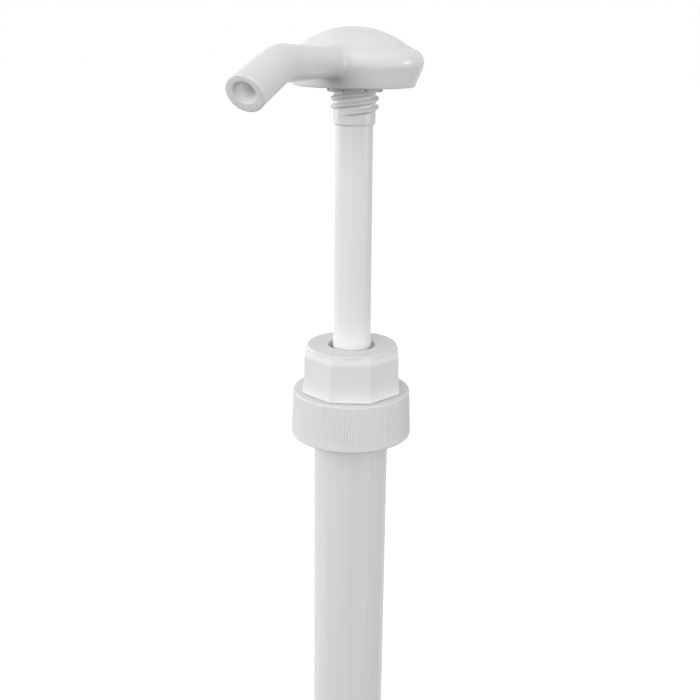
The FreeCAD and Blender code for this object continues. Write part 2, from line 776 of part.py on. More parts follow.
def make_dip_tube():
    """Straight stiff tube, notched at its open end."""
    bottom = -dip_tube_end_depth
    tube = ring(dip_tube_radius - dip_tube_wall, dip_tube_radius, bottom, web_bottom)
    side = dip_tube_radius + overshoot
    low = vec(-side, -side, bottom)
    high = vec(side, -side, bottom + dip_tube_notch)
    corner = vec(side, -side, bottom)
    wedge = Part.Face(Part.makePolygon([low, high, corner, low])).extrude(vec(0, 2 * side, 0))
    return tube.cut(wedge)


# ---------------------------------------------------------------- build
os.makedirs("parts", exist_ok=True)
save("screw_cap", make_screw_cap())
save("neck_gasket", make_neck_gasket())
save("barrel", make_barrel())
save("lock_nut", make_lock_nut())
save("stem_guide", make_stem_guide())
save("stem_wiper", make_stem_wiper())
save("stem", make_stem())
save("lock_plug", make_lock_plug())
save("pump_head", make_pump_head())
save("piston_carrier", make_piston_carrier())
save("piston_seal", make_piston_seal())
save("outlet_ball", Part.makeSphere(outlet_ball_radius, vec(0, 0, outlet_ball_height)))
save("outlet_ball_stop", make_outlet_ball_stop())
save("return_spring", make_return_spring())
save("inlet_ball_cage", make_inlet_ball_cage())
save("inlet_ball", Part.makeSphere(inlet_ball_radius, vec(0, 0, inlet_ball_height)))
save("dip_tube", make_dip_tube())
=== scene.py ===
"""Looks of a jug hand pump: pad and spout, lock plug, stem, nut, closure, barrel and inner parts.

Sizes in the classes are millimetres, in the part's own frame: the pump's axis is Z, the
jug's neck seals at Z = 0, and the spout points to -Y. Meshes are written in metres.
"""
import logging
import math
from dataclasses import dataclass, field
from enum import Enum
from functools import cached_property
from typing import Callable, ClassVar, Optional, Union

import bpy
import numpy as np
from mathutils import Matrix, Vector


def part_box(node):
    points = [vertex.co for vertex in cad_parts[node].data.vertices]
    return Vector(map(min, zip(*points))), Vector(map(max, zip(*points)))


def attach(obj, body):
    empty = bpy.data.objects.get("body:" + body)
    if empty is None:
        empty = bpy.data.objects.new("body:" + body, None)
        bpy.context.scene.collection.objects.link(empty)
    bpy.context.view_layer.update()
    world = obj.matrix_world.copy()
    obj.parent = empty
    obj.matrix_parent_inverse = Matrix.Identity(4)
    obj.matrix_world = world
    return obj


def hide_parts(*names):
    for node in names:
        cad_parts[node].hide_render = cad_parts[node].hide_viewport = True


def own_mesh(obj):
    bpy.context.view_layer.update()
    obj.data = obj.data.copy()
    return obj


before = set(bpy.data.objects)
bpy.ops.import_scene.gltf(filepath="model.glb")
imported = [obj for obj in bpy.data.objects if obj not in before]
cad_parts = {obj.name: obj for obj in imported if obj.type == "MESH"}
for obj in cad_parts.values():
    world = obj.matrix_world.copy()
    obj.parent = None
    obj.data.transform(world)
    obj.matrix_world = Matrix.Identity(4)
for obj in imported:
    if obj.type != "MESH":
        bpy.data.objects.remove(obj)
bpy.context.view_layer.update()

LOG = logging.getLogger("pump")
MM = 0.001
WHITE = (1.0, 1.0, 1.0, 1.0)
FULL_TURN = 2 * math.pi
ON_WALL = 1e-6
TINY = 1e-12
FAR = 1e9

Triple = tuple[float, float, float]
Colour = tuple[float, float, float, float]
Field = Callable[[np.ndarray], np.ndarray]


class Body(Enum):
    """Moving bodies of the pump."""

    BARREL = "barrel_body"
    CLOSURE = "closure"
    PLUNGER = "plunger"


class Gloss(Enum):
    """Roughness of a moulded surface."""

    POLISHED = 0.38
    SMOOTH = 0.34
    SATIN = 0.46
    DULL = 0.62


# ---------------------------------------------------------------- finishes
@dataclass(frozen=True)
class NodeSheet:
    """The nodes of a material or a world, with short ways to add and link them."""

    owner: Union[bpy.types.Material, bpy.types.World]

    @classmethod
    def blank(cls, owner: Union[bpy.types.Material, bpy.types.World]) -> "NodeSheet":
        """Start with no nodes.

        Args:
            owner: a new material or world.

        Returns:
            Its sheet.
        """
        owner.use_nodes = True
        owner.node_tree.nodes.clear()
        return cls(owner)

    def add(self, kind: str, **sockets: object) -> bpy.types.Node:
        """Add a node.

        Args:
            kind: the node's type without its ShaderNode prefix.
            **sockets: input values, by socket name with _ for a space.

        Returns:
            The new node.
        """
        node = self.owner.node_tree.nodes.new("ShaderNode" + kind)
        for name, value in sockets.items():
            node.inputs[name.replace("_", " ")].default_value = value
        return node

    def link(self, source: bpy.types.NodeSocket, target: bpy.types.NodeSocket) -> None:
        """Join an output to an input."""
        self.owner.node_tree.links.new(source, target)

    def shader(self, **sockets: object) -> bpy.types.Node:
        """Add the surface shader and the output that shows it.

        Args:
            **sockets: the shader's input values.

        Returns:
            The shader.
        """
        out = self.add("OutputMaterial")
        shader = self.add("BsdfPrincipled", **sockets)
        self.link(shader.outputs["BSDF"], out.inputs["Surface"])
        return shader

    def place(self, stretch: Triple = (1.0, 1.0, 1.0)) -> bpy.types.NodeSocket:
        """Object coordinates, stretched.

        Args:
            stretch: factors along X, Y and Z.

        Returns:
            The vector output.
        """
        mapping = self.add("Mapping", Scale=stretch)
        self.link(self.add("TexCoord").outputs["Object"], mapping.inputs["Vector"])
        return mapping.outputs["Vector"]

    def spread(self, source: bpy.types.NodeSocket, low: float, high: float,
               start: float = 0.2, end: float = 0.8) -> bpy.types.NodeSocket:
        """Map a value smoothly onto a range.

        Args:
            source: the value, such as a noise from 0 to 1.
            low: result where the value is start or less.
            high: result where the value is end or more.
            start: lower end of the value.
            end: upper end of the value.

        Returns:
            The mapped value.
        """
        node = self.add("MapRange", From_Min=start, From_Max=end, To_Min=low, To_Max=high)
        node.interpolation_type = "SMOOTHSTEP"
        self.link(source, node.inputs["Value"])
        return node.outputs["Result"]

    def blend(self, share: bpy.types.NodeSocket, first: Union[Colour, bpy.types.NodeSocket],
              second: Colour) -> bpy.types.NodeSocket:
        """Blend two colours.

        Args:
            share: 0 for the first colour, 1 for the second.
            first: a colour, or the output that gives it.
            second: the other colour.

        Returns:
            The blended colour.
        """
        node = self.add("Mix")
        node.data_type = "RGBA"
        if isinstance(first, bpy.types.NodeSocket):
            self.link(first, node.inputs["A"])
        else:
            node.inputs["A"].default_value = first
        node.inputs["B"].default_value = second
        self.link(share, node.inputs["Factor"])
        return node.outputs["Result"]

    def relief(self, height: bpy.types.NodeSocket, depth: float, shader: bpy.types.Node) -> None:
        """Give the shader a fine relief.

        Args:
            height: the texture that raises it.
            depth: its height, in millimetres.
            shader: the surface shader.
        """
        bump = self.add("Bump", Strength=1.0, Distance=depth * MM)
        self.link(height, bump.inputs["Height"])
        self.link(bump.outputs["Normal"], shader.inputs["Normal"])


@dataclass(frozen=True)
class MouldedPlastic:
    """White polypropylene or polyethylene as it leaves the mould."""

    name: str
    tone: Triple
    gloss: Gloss
    cloud: float = 0.012
    flow: Triple = (60.0, 60.0, 60.0)
    grain: float = 0.012
    grain_size: float = 1800.0
    translucence: float = 0.35
    scatter: Triple = (1.0, 0.96, 0.9)
    depth: float = 1.2
    refraction: float = 1.49
    rough_spread: float = 0.02
    coat: float = 0.0
    coat_rough: float = 0.12
    # painted light: tone painted on the wall inside the bore, lighter than the plastic, standing in for
    # light reaching into it
    bore_painted_light: Optional[float] = None
    bore_translucence: float = 0.95
    bore_depth: float = 5.0

    def build(self) -> bpy.types.Material:
        """Build the node material.

        Returns:
            The material.
        """
        sheet = NodeSheet.blank(bpy.data.materials.new(self.name))
        shader = sheet.shader(
            IOR=self.refraction,
            Subsurface_Weight=self.translucence,
            Subsurface_Radius=self.scatter,
            Subsurface_Scale=self.depth * MM,
            Coat_Weight=self.coat,
            Coat_Roughness=self.coat_rough,
        )
        noise = sheet.add("TexNoise", Scale=1.0, Detail=4.0, Roughness=0.55)
        sheet.link(sheet.place(self.flow), noise.inputs["Vector"])
        clouds = noise.outputs["Fac"]
        dark = (*(channel * (1.0 - self.cloud) for channel in self.tone), 1.0)
        light = (*(min(1.0, channel * (1.0 + self.cloud)) for channel in self.tone), 1.0)
        tint = sheet.blend(sheet.spread(clouds, 0.0, 1.0), dark, light)
        # paint the bore's wall lighter: painted light, not the plastic's own colour
        if self.bore_painted_light is not None:
            tint = self.paint_light_in_bore(sheet, shader, tint)
        sheet.link(tint, shader.inputs["Base Color"])
        rough = self.gloss.value
        matt = sheet.spread(clouds, rough - self.rough_spread, rough + self.rough_spread)
        sheet.link(matt, shader.inputs["Roughness"])
        fine = sheet.add("TexNoise", Scale=self.grain_size, Detail=3.0, Roughness=0.6)
        sheet.link(sheet.place(), fine.inputs["Vector"])
        sheet.relief(fine.outputs["Fac"], self.grain, shader)
        return sheet.owner

    def paint_light_in_bore(self, sheet: NodeSheet, shader: bpy.types.Node,
                     tint: bpy.types.NodeSocket) -> bpy.types.NodeSocket:
        """Paint the wall inside a bore lighter, as painted light that stands in for light reaching into the
        bore, and let more light through it.

        Args:
            sheet: the material's sheet.
            shader: its surface shader.
            tint: the colour outside the bore.

        Returns:
            The colour of both, with the painted light in the bore.
        """
        mark = sheet.add("Attribute")
        mark.attribute_name = "bore"
        bore = mark.outputs["Fac"]
        for socket, outer, inner in (
            ("Subsurface Weight", self.translucence, self.bore_translucence),
            ("Subsurface Scale", self.depth * MM, self.bore_depth * MM),
        ):
            sheet.link(sheet.spread(bore, outer, inner), shader.inputs[socket])
        return sheet.blend(bore, tint, (*[self.bore_painted_light] * 3, 1.0))


@dataclass(frozen=True)
class DrawnSteel:
    """Stainless steel of the spring and the valve balls."""

    name: str
    rough: float
    scratch: Triple = (900.0, 900.0, 900.0)
    rough_spread: float = 0.12
    dark: Colour = (0.52, 0.52, 0.53, 1.0)
    light: Colour = (0.68, 0.68, 0.68, 1.0)
    scratch_depth: float = 0.004

    def build(self) -> bpy.types.Material:
        """Build the node material.

        Returns:
            The material.
        """
        sheet = NodeSheet.blank(bpy.data.materials.new(self.name))
        shader = sheet.shader(Metallic=1.0)
        noise = sheet.add("TexNoise", Scale=1.0, Detail=5.0, Roughness=0.6)
        sheet.link(sheet.place(self.scratch), noise.inputs["Vector"])
        scratches = noise.outputs["Fac"]
        tint = sheet.blend(sheet.spread(scratches, 0.0, 1.0), self.dark, self.light)
        sheet.link(tint, shader.inputs["Base Color"])
        matt = sheet.spread(scratches, self.rough, self.rough + self.rough_spread)
        sheet.link(matt, shader.inputs["Roughness"])
        sheet.relief(scratches, self.scratch_depth, shader)
        return sheet.owner


@dataclass(frozen=True)
class FoamSheet:
    """Closed-cell foam of the neck gasket."""

    name: str
    cells_per_metre: float = 2400.0
    rough: float = 0.8
    wall_tone: Colour = (0.86, 0.86, 0.84, 1.0)
    cell_tone: Colour = (0.72, 0.72, 0.70, 1.0)
    cell_depth: float = 0.06

    def build(self) -> bpy.types.Material:
        """Build the node material.

        Returns:
            The material.
        """
        sheet = NodeSheet.blank(bpy.data.materials.new(self.name))
        shader = sheet.shader(Roughness=self.rough)
        cells = sheet.add("TexVoronoi", Scale=self.cells_per_metre)
        sheet.link(sheet.place(), cells.inputs["Vector"])
        tint = sheet.blend(cells.outputs["Distance"], self.wall_tone, self.cell_tone)
        sheet.link(tint, shader.inputs["Base Color"])
        sheet.relief(cells.outputs["Distance"], self.cell_depth, shader)
        return sheet.owner


# ---------------------------------------------------------------- mesh making
def blend_min(a: np.ndarray, b: np.ndarray, round_size: float) -> np.ndarray:
    """Union of two fields with a fillet.

    Args:
        a: distance to the first solid.
        b: distance to the second solid.
        round_size: width of the fillet.

    Returns:
        Distance to the joined solid.
    """
    overlap = np.maximum(round_size - np.abs(a - b), 0.0) / round_size
    return np.minimum(a, b) - overlap ** 3 * round_size / 6


def blend_max(a: np.ndarray, b: np.ndarray, round_size: float) -> np.ndarray:
    """Common part of two fields, with its edge rounded.

    Args:
        a: distance to the first solid.
        b: distance to the second solid.
        round_size: width of the rounding.

    Returns:
        Distance to the common solid.
    """
    return -blend_min(-a, -b, round_size)


def ramp(value: np.ndarray, start: float, end: float) -> np.ndarray:
    """Smooth step from 0 at start to 1 at end.

    Args:
        value: where it is asked.
        start: value that gives 0.
        end: value that gives 1.

    Returns:
        The step, between 0 and 1.
    """
    share = np.clip((value - start) / (end - start), 0.0, 1.0)
    return share * share * (3 - 2 * share)


def rounded_outline(corners: list[tuple[float, ...]], arc_step: float = 0.12) -> np.ndarray:
    """Closed outline with rounded corners and divided sides.

    Args:
        corners: (r, z, round, step) each; round and step may be left out. step divides
            the side that follows the corner.
        arc_step: spacing of the points on a rounded corner.

    Returns:
        Points of the outline, shape (count, 2).
    """
    count = len(corners)
    full = [tuple(corner) + (0.0,) * (4 - len(corner)) for corner in corners]
    places = np.array([corner[:2] for corner in full])
    arcs = []
    for index in range(count):
        here = places[index]
        radius = full[index][2]
        if radius <= 0:
            arcs.append([here])
            continue
        back = places[index - 1] - here
        ahead = places[(index + 1) % count] - here
        back = back / np.linalg.norm(back)
        ahead = ahead / np.linalg.norm(ahead)
        half = math.acos(float(np.clip(back @ ahead, -1, 1))) / 2
        bisector = (back + ahead) / np.linalg.norm(back + ahead)
        centre = here + bisector * radius / math.sin(half)
        start = here + back * radius / math.tan(half) - centre
        end = here + ahead * radius / math.tan(half) - centre
        whole = math.pi - 2 * half
        steps = max(2, int(math.ceil(radius * whole / arc_step)))
        arc = []
        for step in range(steps + 1):
            share = step / steps
            one = math.sin((1 - share) * whole) / math.sin(whole)
            two = math.sin(share * whole) / math.sin(whole)
            arc.append(centre + start * one + end * two)
        arcs.append(arc)
    points: list[np.ndarray] = []
    for index in range(count):
        points.extend(arcs[index])
        spacing = full[index][3]
        if spacing > 0:
            start = arcs[index][-1]
            end = arcs[(index + 1) % count][0]
            parts = int(np.linalg.norm(end - start) / spacing)
            points.extend(start + (end - start) * part / parts for part in range(1, parts))
    return np.array(points)


@dataclass
class OutlineField:
    """Signed distance to a closed outline in the (r, z) half plane, read from a grid."""

    points: np.ndarray
    cell: float = 0.1
    margin: float = 6.0
    _low: np.ndarray = field(init=False, repr=False)
    _grid: np.ndarray = field(init=False, repr=False)

    def __post_init__(self) -> None:
        """Fill the grid."""
        self._low = self.points.min(0) - self.margin
        high = self.points.max(0) + self.margin
        r = np.arange(self._low[0], high[0], self.cell)
        z = np.arange(self._low[1], high[1], self.cell)
        places = np.stack(np.meshgrid(r, z, indexing="ij"), -1).reshape(-1, 2)
        nearest = np.full(len(places), FAR)
        crossings = np.zeros(len(places), bool)
        for start, end in zip(self.points, np.roll(self.points, -1, 0)):
            side = end - start
            offset = places - start
            share = np.clip((offset @ side) / max(side @ side, TINY), 0, 1)
            nearest = np.minimum(nearest, np.linalg.norm(offset - share[:, None] * side, axis=1))
            straddles = (start[1] > places[:, 1]) != (end[1] > places[:, 1])
            if straddles.any():
                reach = start[0] + (places[:, 1] - start[1]) * side[0] / (side[1] if side[1] else TINY)
                crossings ^= straddles & (places[:, 0] < reach)
        self._grid = np.where(crossings, -nearest, nearest).reshape(len(r), len(z))

    def __call__(self, r: np.ndarray, z: np.ndarray) -> np.ndarray:
        """Distance at places, negative inside.

        Args:
            r: distances from the axis.
            z: heights.

        Returns:
            Signed distances.
        """
        rows, columns = self._grid.shape
        u = np.clip((r - self._low[0]) / self.cell, 0, rows - 1.001)
        v = np.clip((z - self._low[1]) / self.cell, 0, columns - 1.001)
        i = u.astype(int)
        j = v.astype(int)
        u = u - i
        v = v - j
        near = self._grid[i, j] * (1 - u) + self._grid[i + 1, j] * u
        far = self._grid[i, j + 1] * (1 - u) + self._grid[i + 1, j + 1] * u
        return near * (1 - v) + far * v


@dataclass
class Skin:
    """A mesh under way, in millimetres."""

    points: np.ndarray
    quads: np.ndarray

    def to_object(self, name: str, sharp: float = 50.0) -> bpy.types.Object:
        """Make the Blender object.

        Args:
            name: name of the piece.
            sharp: edges that turn by more than this, in degrees, stay crisp.

        Returns:
            The object, linked to the scene.
        """
        mesh = bpy.data.meshes.new(name)
        count = len(self.quads)
        mesh.vertices.add(len(self.points))
        mesh.vertices.foreach_set("co", (self.points * MM).astype(np.float32).ravel())
        mesh.loops.add(4 * count)
        mesh.loops.foreach_set("vertex_index", self.quads.astype(np.int32).ravel())
        mesh.polygons.add(count)
        mesh.polygons.foreach_set("loop_start", np.arange(0, 4 * count, 4, dtype=np.int32))
        mesh.update(calc_edges=True)
        mesh.validate()
        mesh.shade_smooth()
        mesh.set_sharp_from_angle(angle=math.radians(sharp))
        piece = bpy.data.objects.new(name, mesh)
        bpy.context.scene.collection.objects.link(piece)
        return piece


def ring_quads(rows: int, columns: int, closed: bool) -> np.ndarray:
    """Quads between rings of points.

    Args:
        rows: number of rings.
        columns: points in a ring.
        closed: whether the last ring joins the first.

    Returns:
        Quads, shape (count, 4).
    """
    row = np.arange(rows if closed else rows - 1)[:, None]
    column = np.arange(columns)[None, :]
    here = row * columns
    ahead = (row + 1) % rows * columns
    beside = (column + 1) % columns
    return np.stack([here + column, here + beside, ahead + beside, ahead + column], -1).reshape(-1, 4)


@dataclass
class Turning:
    """Ring-shaped skin turned about the pump's axis from a closed outline."""

    corners: list[tuple[float, ...]]
    columns: int
    shift: Optional[Callable[[np.ndarray, np.ndarray, np.ndarray], tuple[np.ndarray, np.ndarray]]] = None

    def skin(self) -> Skin:
        """Turn the outline.

        Returns:
            The closed skin.
        """
        outline = rounded_outline(self.corners)
        rows = len(outline)
        angle = np.linspace(0, FULL_TURN, self.columns, endpoint=False)[None, :]
        r, z = np.repeat(outline.T[:, :, None], self.columns, 2)
        if self.shift is not None:
            r, z = self.shift(r, z, np.repeat(angle, rows, 0))
        points = np.stack([r * np.cos(angle), r * np.sin(angle), z], -1).reshape(-1, 3)
        quads = ring_quads(rows, self.columns, True)
        ahead = np.roll(outline, -1, 0)
        area = np.sum(outline[:, 0] * ahead[:, 1] - ahead[:, 0] * outline[:, 1])
        return Skin(points, quads if area > 0 else quads[:, ::-1])


@dataclass
class FieldSkin:
    """Skin of a solid that is given by its distance field."""

    solid: Field
    low: tuple[float, float, float]
    high: tuple[float, float, float]
    cell: float
    relax: int = 3
    portion: int = 400000
    probe: float = 0.03
    step_limit: float = 0.7
    least_slope: float = 0.05

    def _values(self, places: np.ndarray) -> np.ndarray:
        """The field at many places, in portions."""
        portions = np.array_split(places, len(places) // self.portion + 1)
        return np.concatenate([self.solid(portion) for portion in portions])

    def _normal(self, places: np.ndarray) -> np.ndarray:
        """Gradient of the field at places.

        Args:
            places: points, shape (count, 3).

        Returns:
            Slopes along X, Y and Z.
        """
        slopes = []
        for axis in range(3):
            offset = np.zeros(3)
            offset[axis] = self.probe
            rise = self._values(places + offset) - self._values(places - offset)
            slopes.append(rise / (2 * self.probe))
        return np.stack(slopes, -1)

    def _settle(self, places: np.ndarray, rounds: int) -> np.ndarray:
        """Move places onto the surface.

        Args:
            places: points near the surface.
            rounds: number of steps.

        Returns:
            The moved points.
        """
        for _ in range(rounds):
            slope = self._normal(places)
            size = np.maximum((slope * slope).sum(1), self.least_slope)
            step = (self._values(places) / size)[:, None] * slope
            length = np.linalg.norm(step, axis=1, keepdims=True)
            places = places - step * np.minimum(1.0, self.step_limit * self.cell / np.maximum(length, TINY))
        return places

    def skin(self) -> Skin:
        """Wrap the solid in quads and settle them on its surface.

        Returns:
            The closed skin.
        """
        axes = [
            np.arange(low - 2 * self.cell, high + 3 * self.cell, self.cell)
            for low, high in zip(self.low, self.high)
        ]
        grid = np.stack(np.meshgrid(*axes, indexing="ij"), -1)
        values = self._values(grid.reshape(-1, 3)).reshape(grid.shape[:3])
        inside = values < 0
        n = np.array(inside.shape) - 1
        corners = [(a, b, c) for a in (0, 1) for b in (0, 1) for c in (0, 1)]
        total = sum(inside[a:a + n[0], b:b + n[1], c:c + n[2]].astype(np.int8) for a, b, c in corners)
        active = (total > 0) & (total < 8)
        number = np.full(active.shape, -1)
        number[active] = np.arange(int(active.sum()))
        cells = np.argwhere(active)
        sums = np.zeros((len(cells), 3))
        hits = np.zeros(len(cells))
        for start in corners:
            for axis in range(3):
                if start[axis]:
                    continue
                end = list(start)
                end[axis] = 1
                first = values[tuple((cells + start).T)]
                last = values[tuple((cells + end).T)]
                crossed = (first < 0) != (last < 0)
                share = np.where(crossed, first / np.where(crossed, first - last, 1.0), 0.0)
                where = np.array(start) + share[:, None] * (np.array(end) - np.array(start))
                sums += where * crossed[:, None]
                hits += crossed
        base = np.array([axis[0] for axis in axes])
        points = base + (cells + sums / hits[:, None]) * self.cell
        quads = self._quads(inside, number)
        points = self._settle(points, 3)
        for _ in range(self.relax):
            points = self._settle(self._even(points, quads), 2)
        return Skin(points, quads)

    @staticmethod
    def _quads(inside: np.ndarray, number: np.ndarray) -> np.ndarray:
        """One quad for each grid edge that leaves the solid.

        Args:
            inside: which grid points are inside.
            number: the point's number in each cell.

        Returns:
            Quads, shape (count, 4).
        """
        quads = []
        for axis in range(3):
            first = np.take(inside, range(inside.shape[axis] - 1), axis)
            last = np.take(inside, range(1, inside.shape[axis]), axis)
            edges = np.argwhere(first != last)
            across = [(axis + 1) % 3, (axis + 2) % 3]
            edges = edges[(edges[:, across[0]] > 0) & (edges[:, across[1]] > 0)]
            ring = []
            for back_one, back_two in ((1, 1), (0, 1), (0, 0), (1, 0)):
                cell = edges.copy()
                cell[:, across[0]] -= back_one
                cell[:, across[1]] -= back_two
                ring.append(number[tuple(cell.T)])
            ring = np.stack(ring, -1)
            leaving = first[tuple(edges.T)]
            ring[~leaving] = ring[~leaving][:, ::-1]
            quads.append(ring)
        return np.concatenate(quads)

    @staticmethod
    def _even(points: np.ndarray, quads: np.ndarray) -> np.ndarray:
        """Move each point half way to the middle of its neighbours.

        Args:
            points: the skin's points.
            quads: its quads.

        Returns:
            The moved points.
        """
        sums = np.zeros_like(points)
        counts = np.zeros(len(points))
        for side in range(4):
            start = quads[:, side]
            end = quads[:, (side + 1) % 4]
            for axis in range(3):
                sums[:, axis] += np.bincount(start, points[end, axis], len(points))
                sums[:, axis] += np.bincount(end, points[start, axis], len(points))
            counts += np.bincount(start, minlength=len(points)) + np.bincount(end, minlength=len(points))
        return 0.5 * points + 0.5 * sums / counts[:, None]


@dataclass(frozen=True)
class Thread:
    """Right-handed screw ridge round the pump's axis."""

    lead: float
    starts: int
    height: float
    foot: float
    crest: float
    phase_height: float
    bottom: float
    top: float
    fade: float = 1.0

    def rise(self, angle: np.ndarray, z: np.ndarray) -> np.ndarray:
        """How far the ridge stands out at places on the wall.

        Args:
            angle: angles round the axis, in radians.
            z: heights.

        Returns:
            Heights of the ridge, from 0 to its full height.
        """
        pitch = self.lead / self.starts
        along = z - self.phase_height - self.lead * angle / FULL_TURN
        turn = np.round(along / pitch)
        off = np.abs(along - turn * pitch)
        shape = 1 - ramp(off, self.crest / 2, self.foot / 2)
        centre = z - (along - turn * pitch)
        begun = ramp(centre, self.bottom, self.bottom + self.fade)
        ended = ramp(centre, self.top - self.fade, self.top)
        return self.height * shape * (begun * (1 - ended))


@dataclass
class Piece:
    """A piece with a skin of its own that stands for one CAD node."""

    name: ClassVar[str]
    node: ClassVar[str]
    slot: ClassVar[str]
    body: ClassVar[Body]
    sharp: ClassVar[float] = 60.0

    def skin(self) -> Skin:
        """Shape the piece."""
        raise NotImplementedError

    def work(self, piece: bpy.types.Object, skin: Skin) -> None:
        """Work on the shaped piece, where it needs that."""

    def build(self, material: bpy.types.Material) -> bpy.types.Object:
        """Build and dress the piece.

        Args:
            material: its finish.

        Returns:
            The piece.
        """
        skin = self.skin()
        piece = skin.to_object(self.name, self.sharp)
        self.work(piece, skin)
        piece.data.materials.append(material)
        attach(piece, self.body.value)
        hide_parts(self.node)
        LOG.info("%s: %d faces", piece.name, len(piece.data.polygons))
        return piece


# ---------------------------------------------------------------- the stem, which others fit
@dataclass
class Stem(Piece):
    """Long drafted tube between the piston and the pad."""

    name = "stem_tube"
    node = "stem"
    slot = "stem_white"
    body = Body.PLUNGER
    sharp = 50.0
    foot_height: float = -14.5
    top_height: float = 111.8
    foot_radius: float = 6.70
    top_radius: float = 6.00
    wall: float = 1.9
    inner_round: float = 0.15
    outer_round: float = 0.2
    ring_step: float = 6.0
    columns: int = 144

    def radius(self, z: np.ndarray) -> np.ndarray:
        """Outside radius at a height."""
        share = (z - self.foot_height) / (self.top_height - self.foot_height)
        return self.foot_radius + (self.top_radius - self.foot_radius) * share

    def skin(self) -> Skin:
        """Turn the tube.

        Returns:
            The closed skin.
        """
        return Turning([
            (self.foot_radius - self.wall, self.foot_height, self.inner_round),
            (self.foot_radius, self.foot_height, self.outer_round, self.ring_step),
            (self.top_radius, self.top_height, self.outer_round),
            (self.top_radius - self.wall, self.top_height, self.inner_round, self.ring_step),
        ], self.columns).skin()


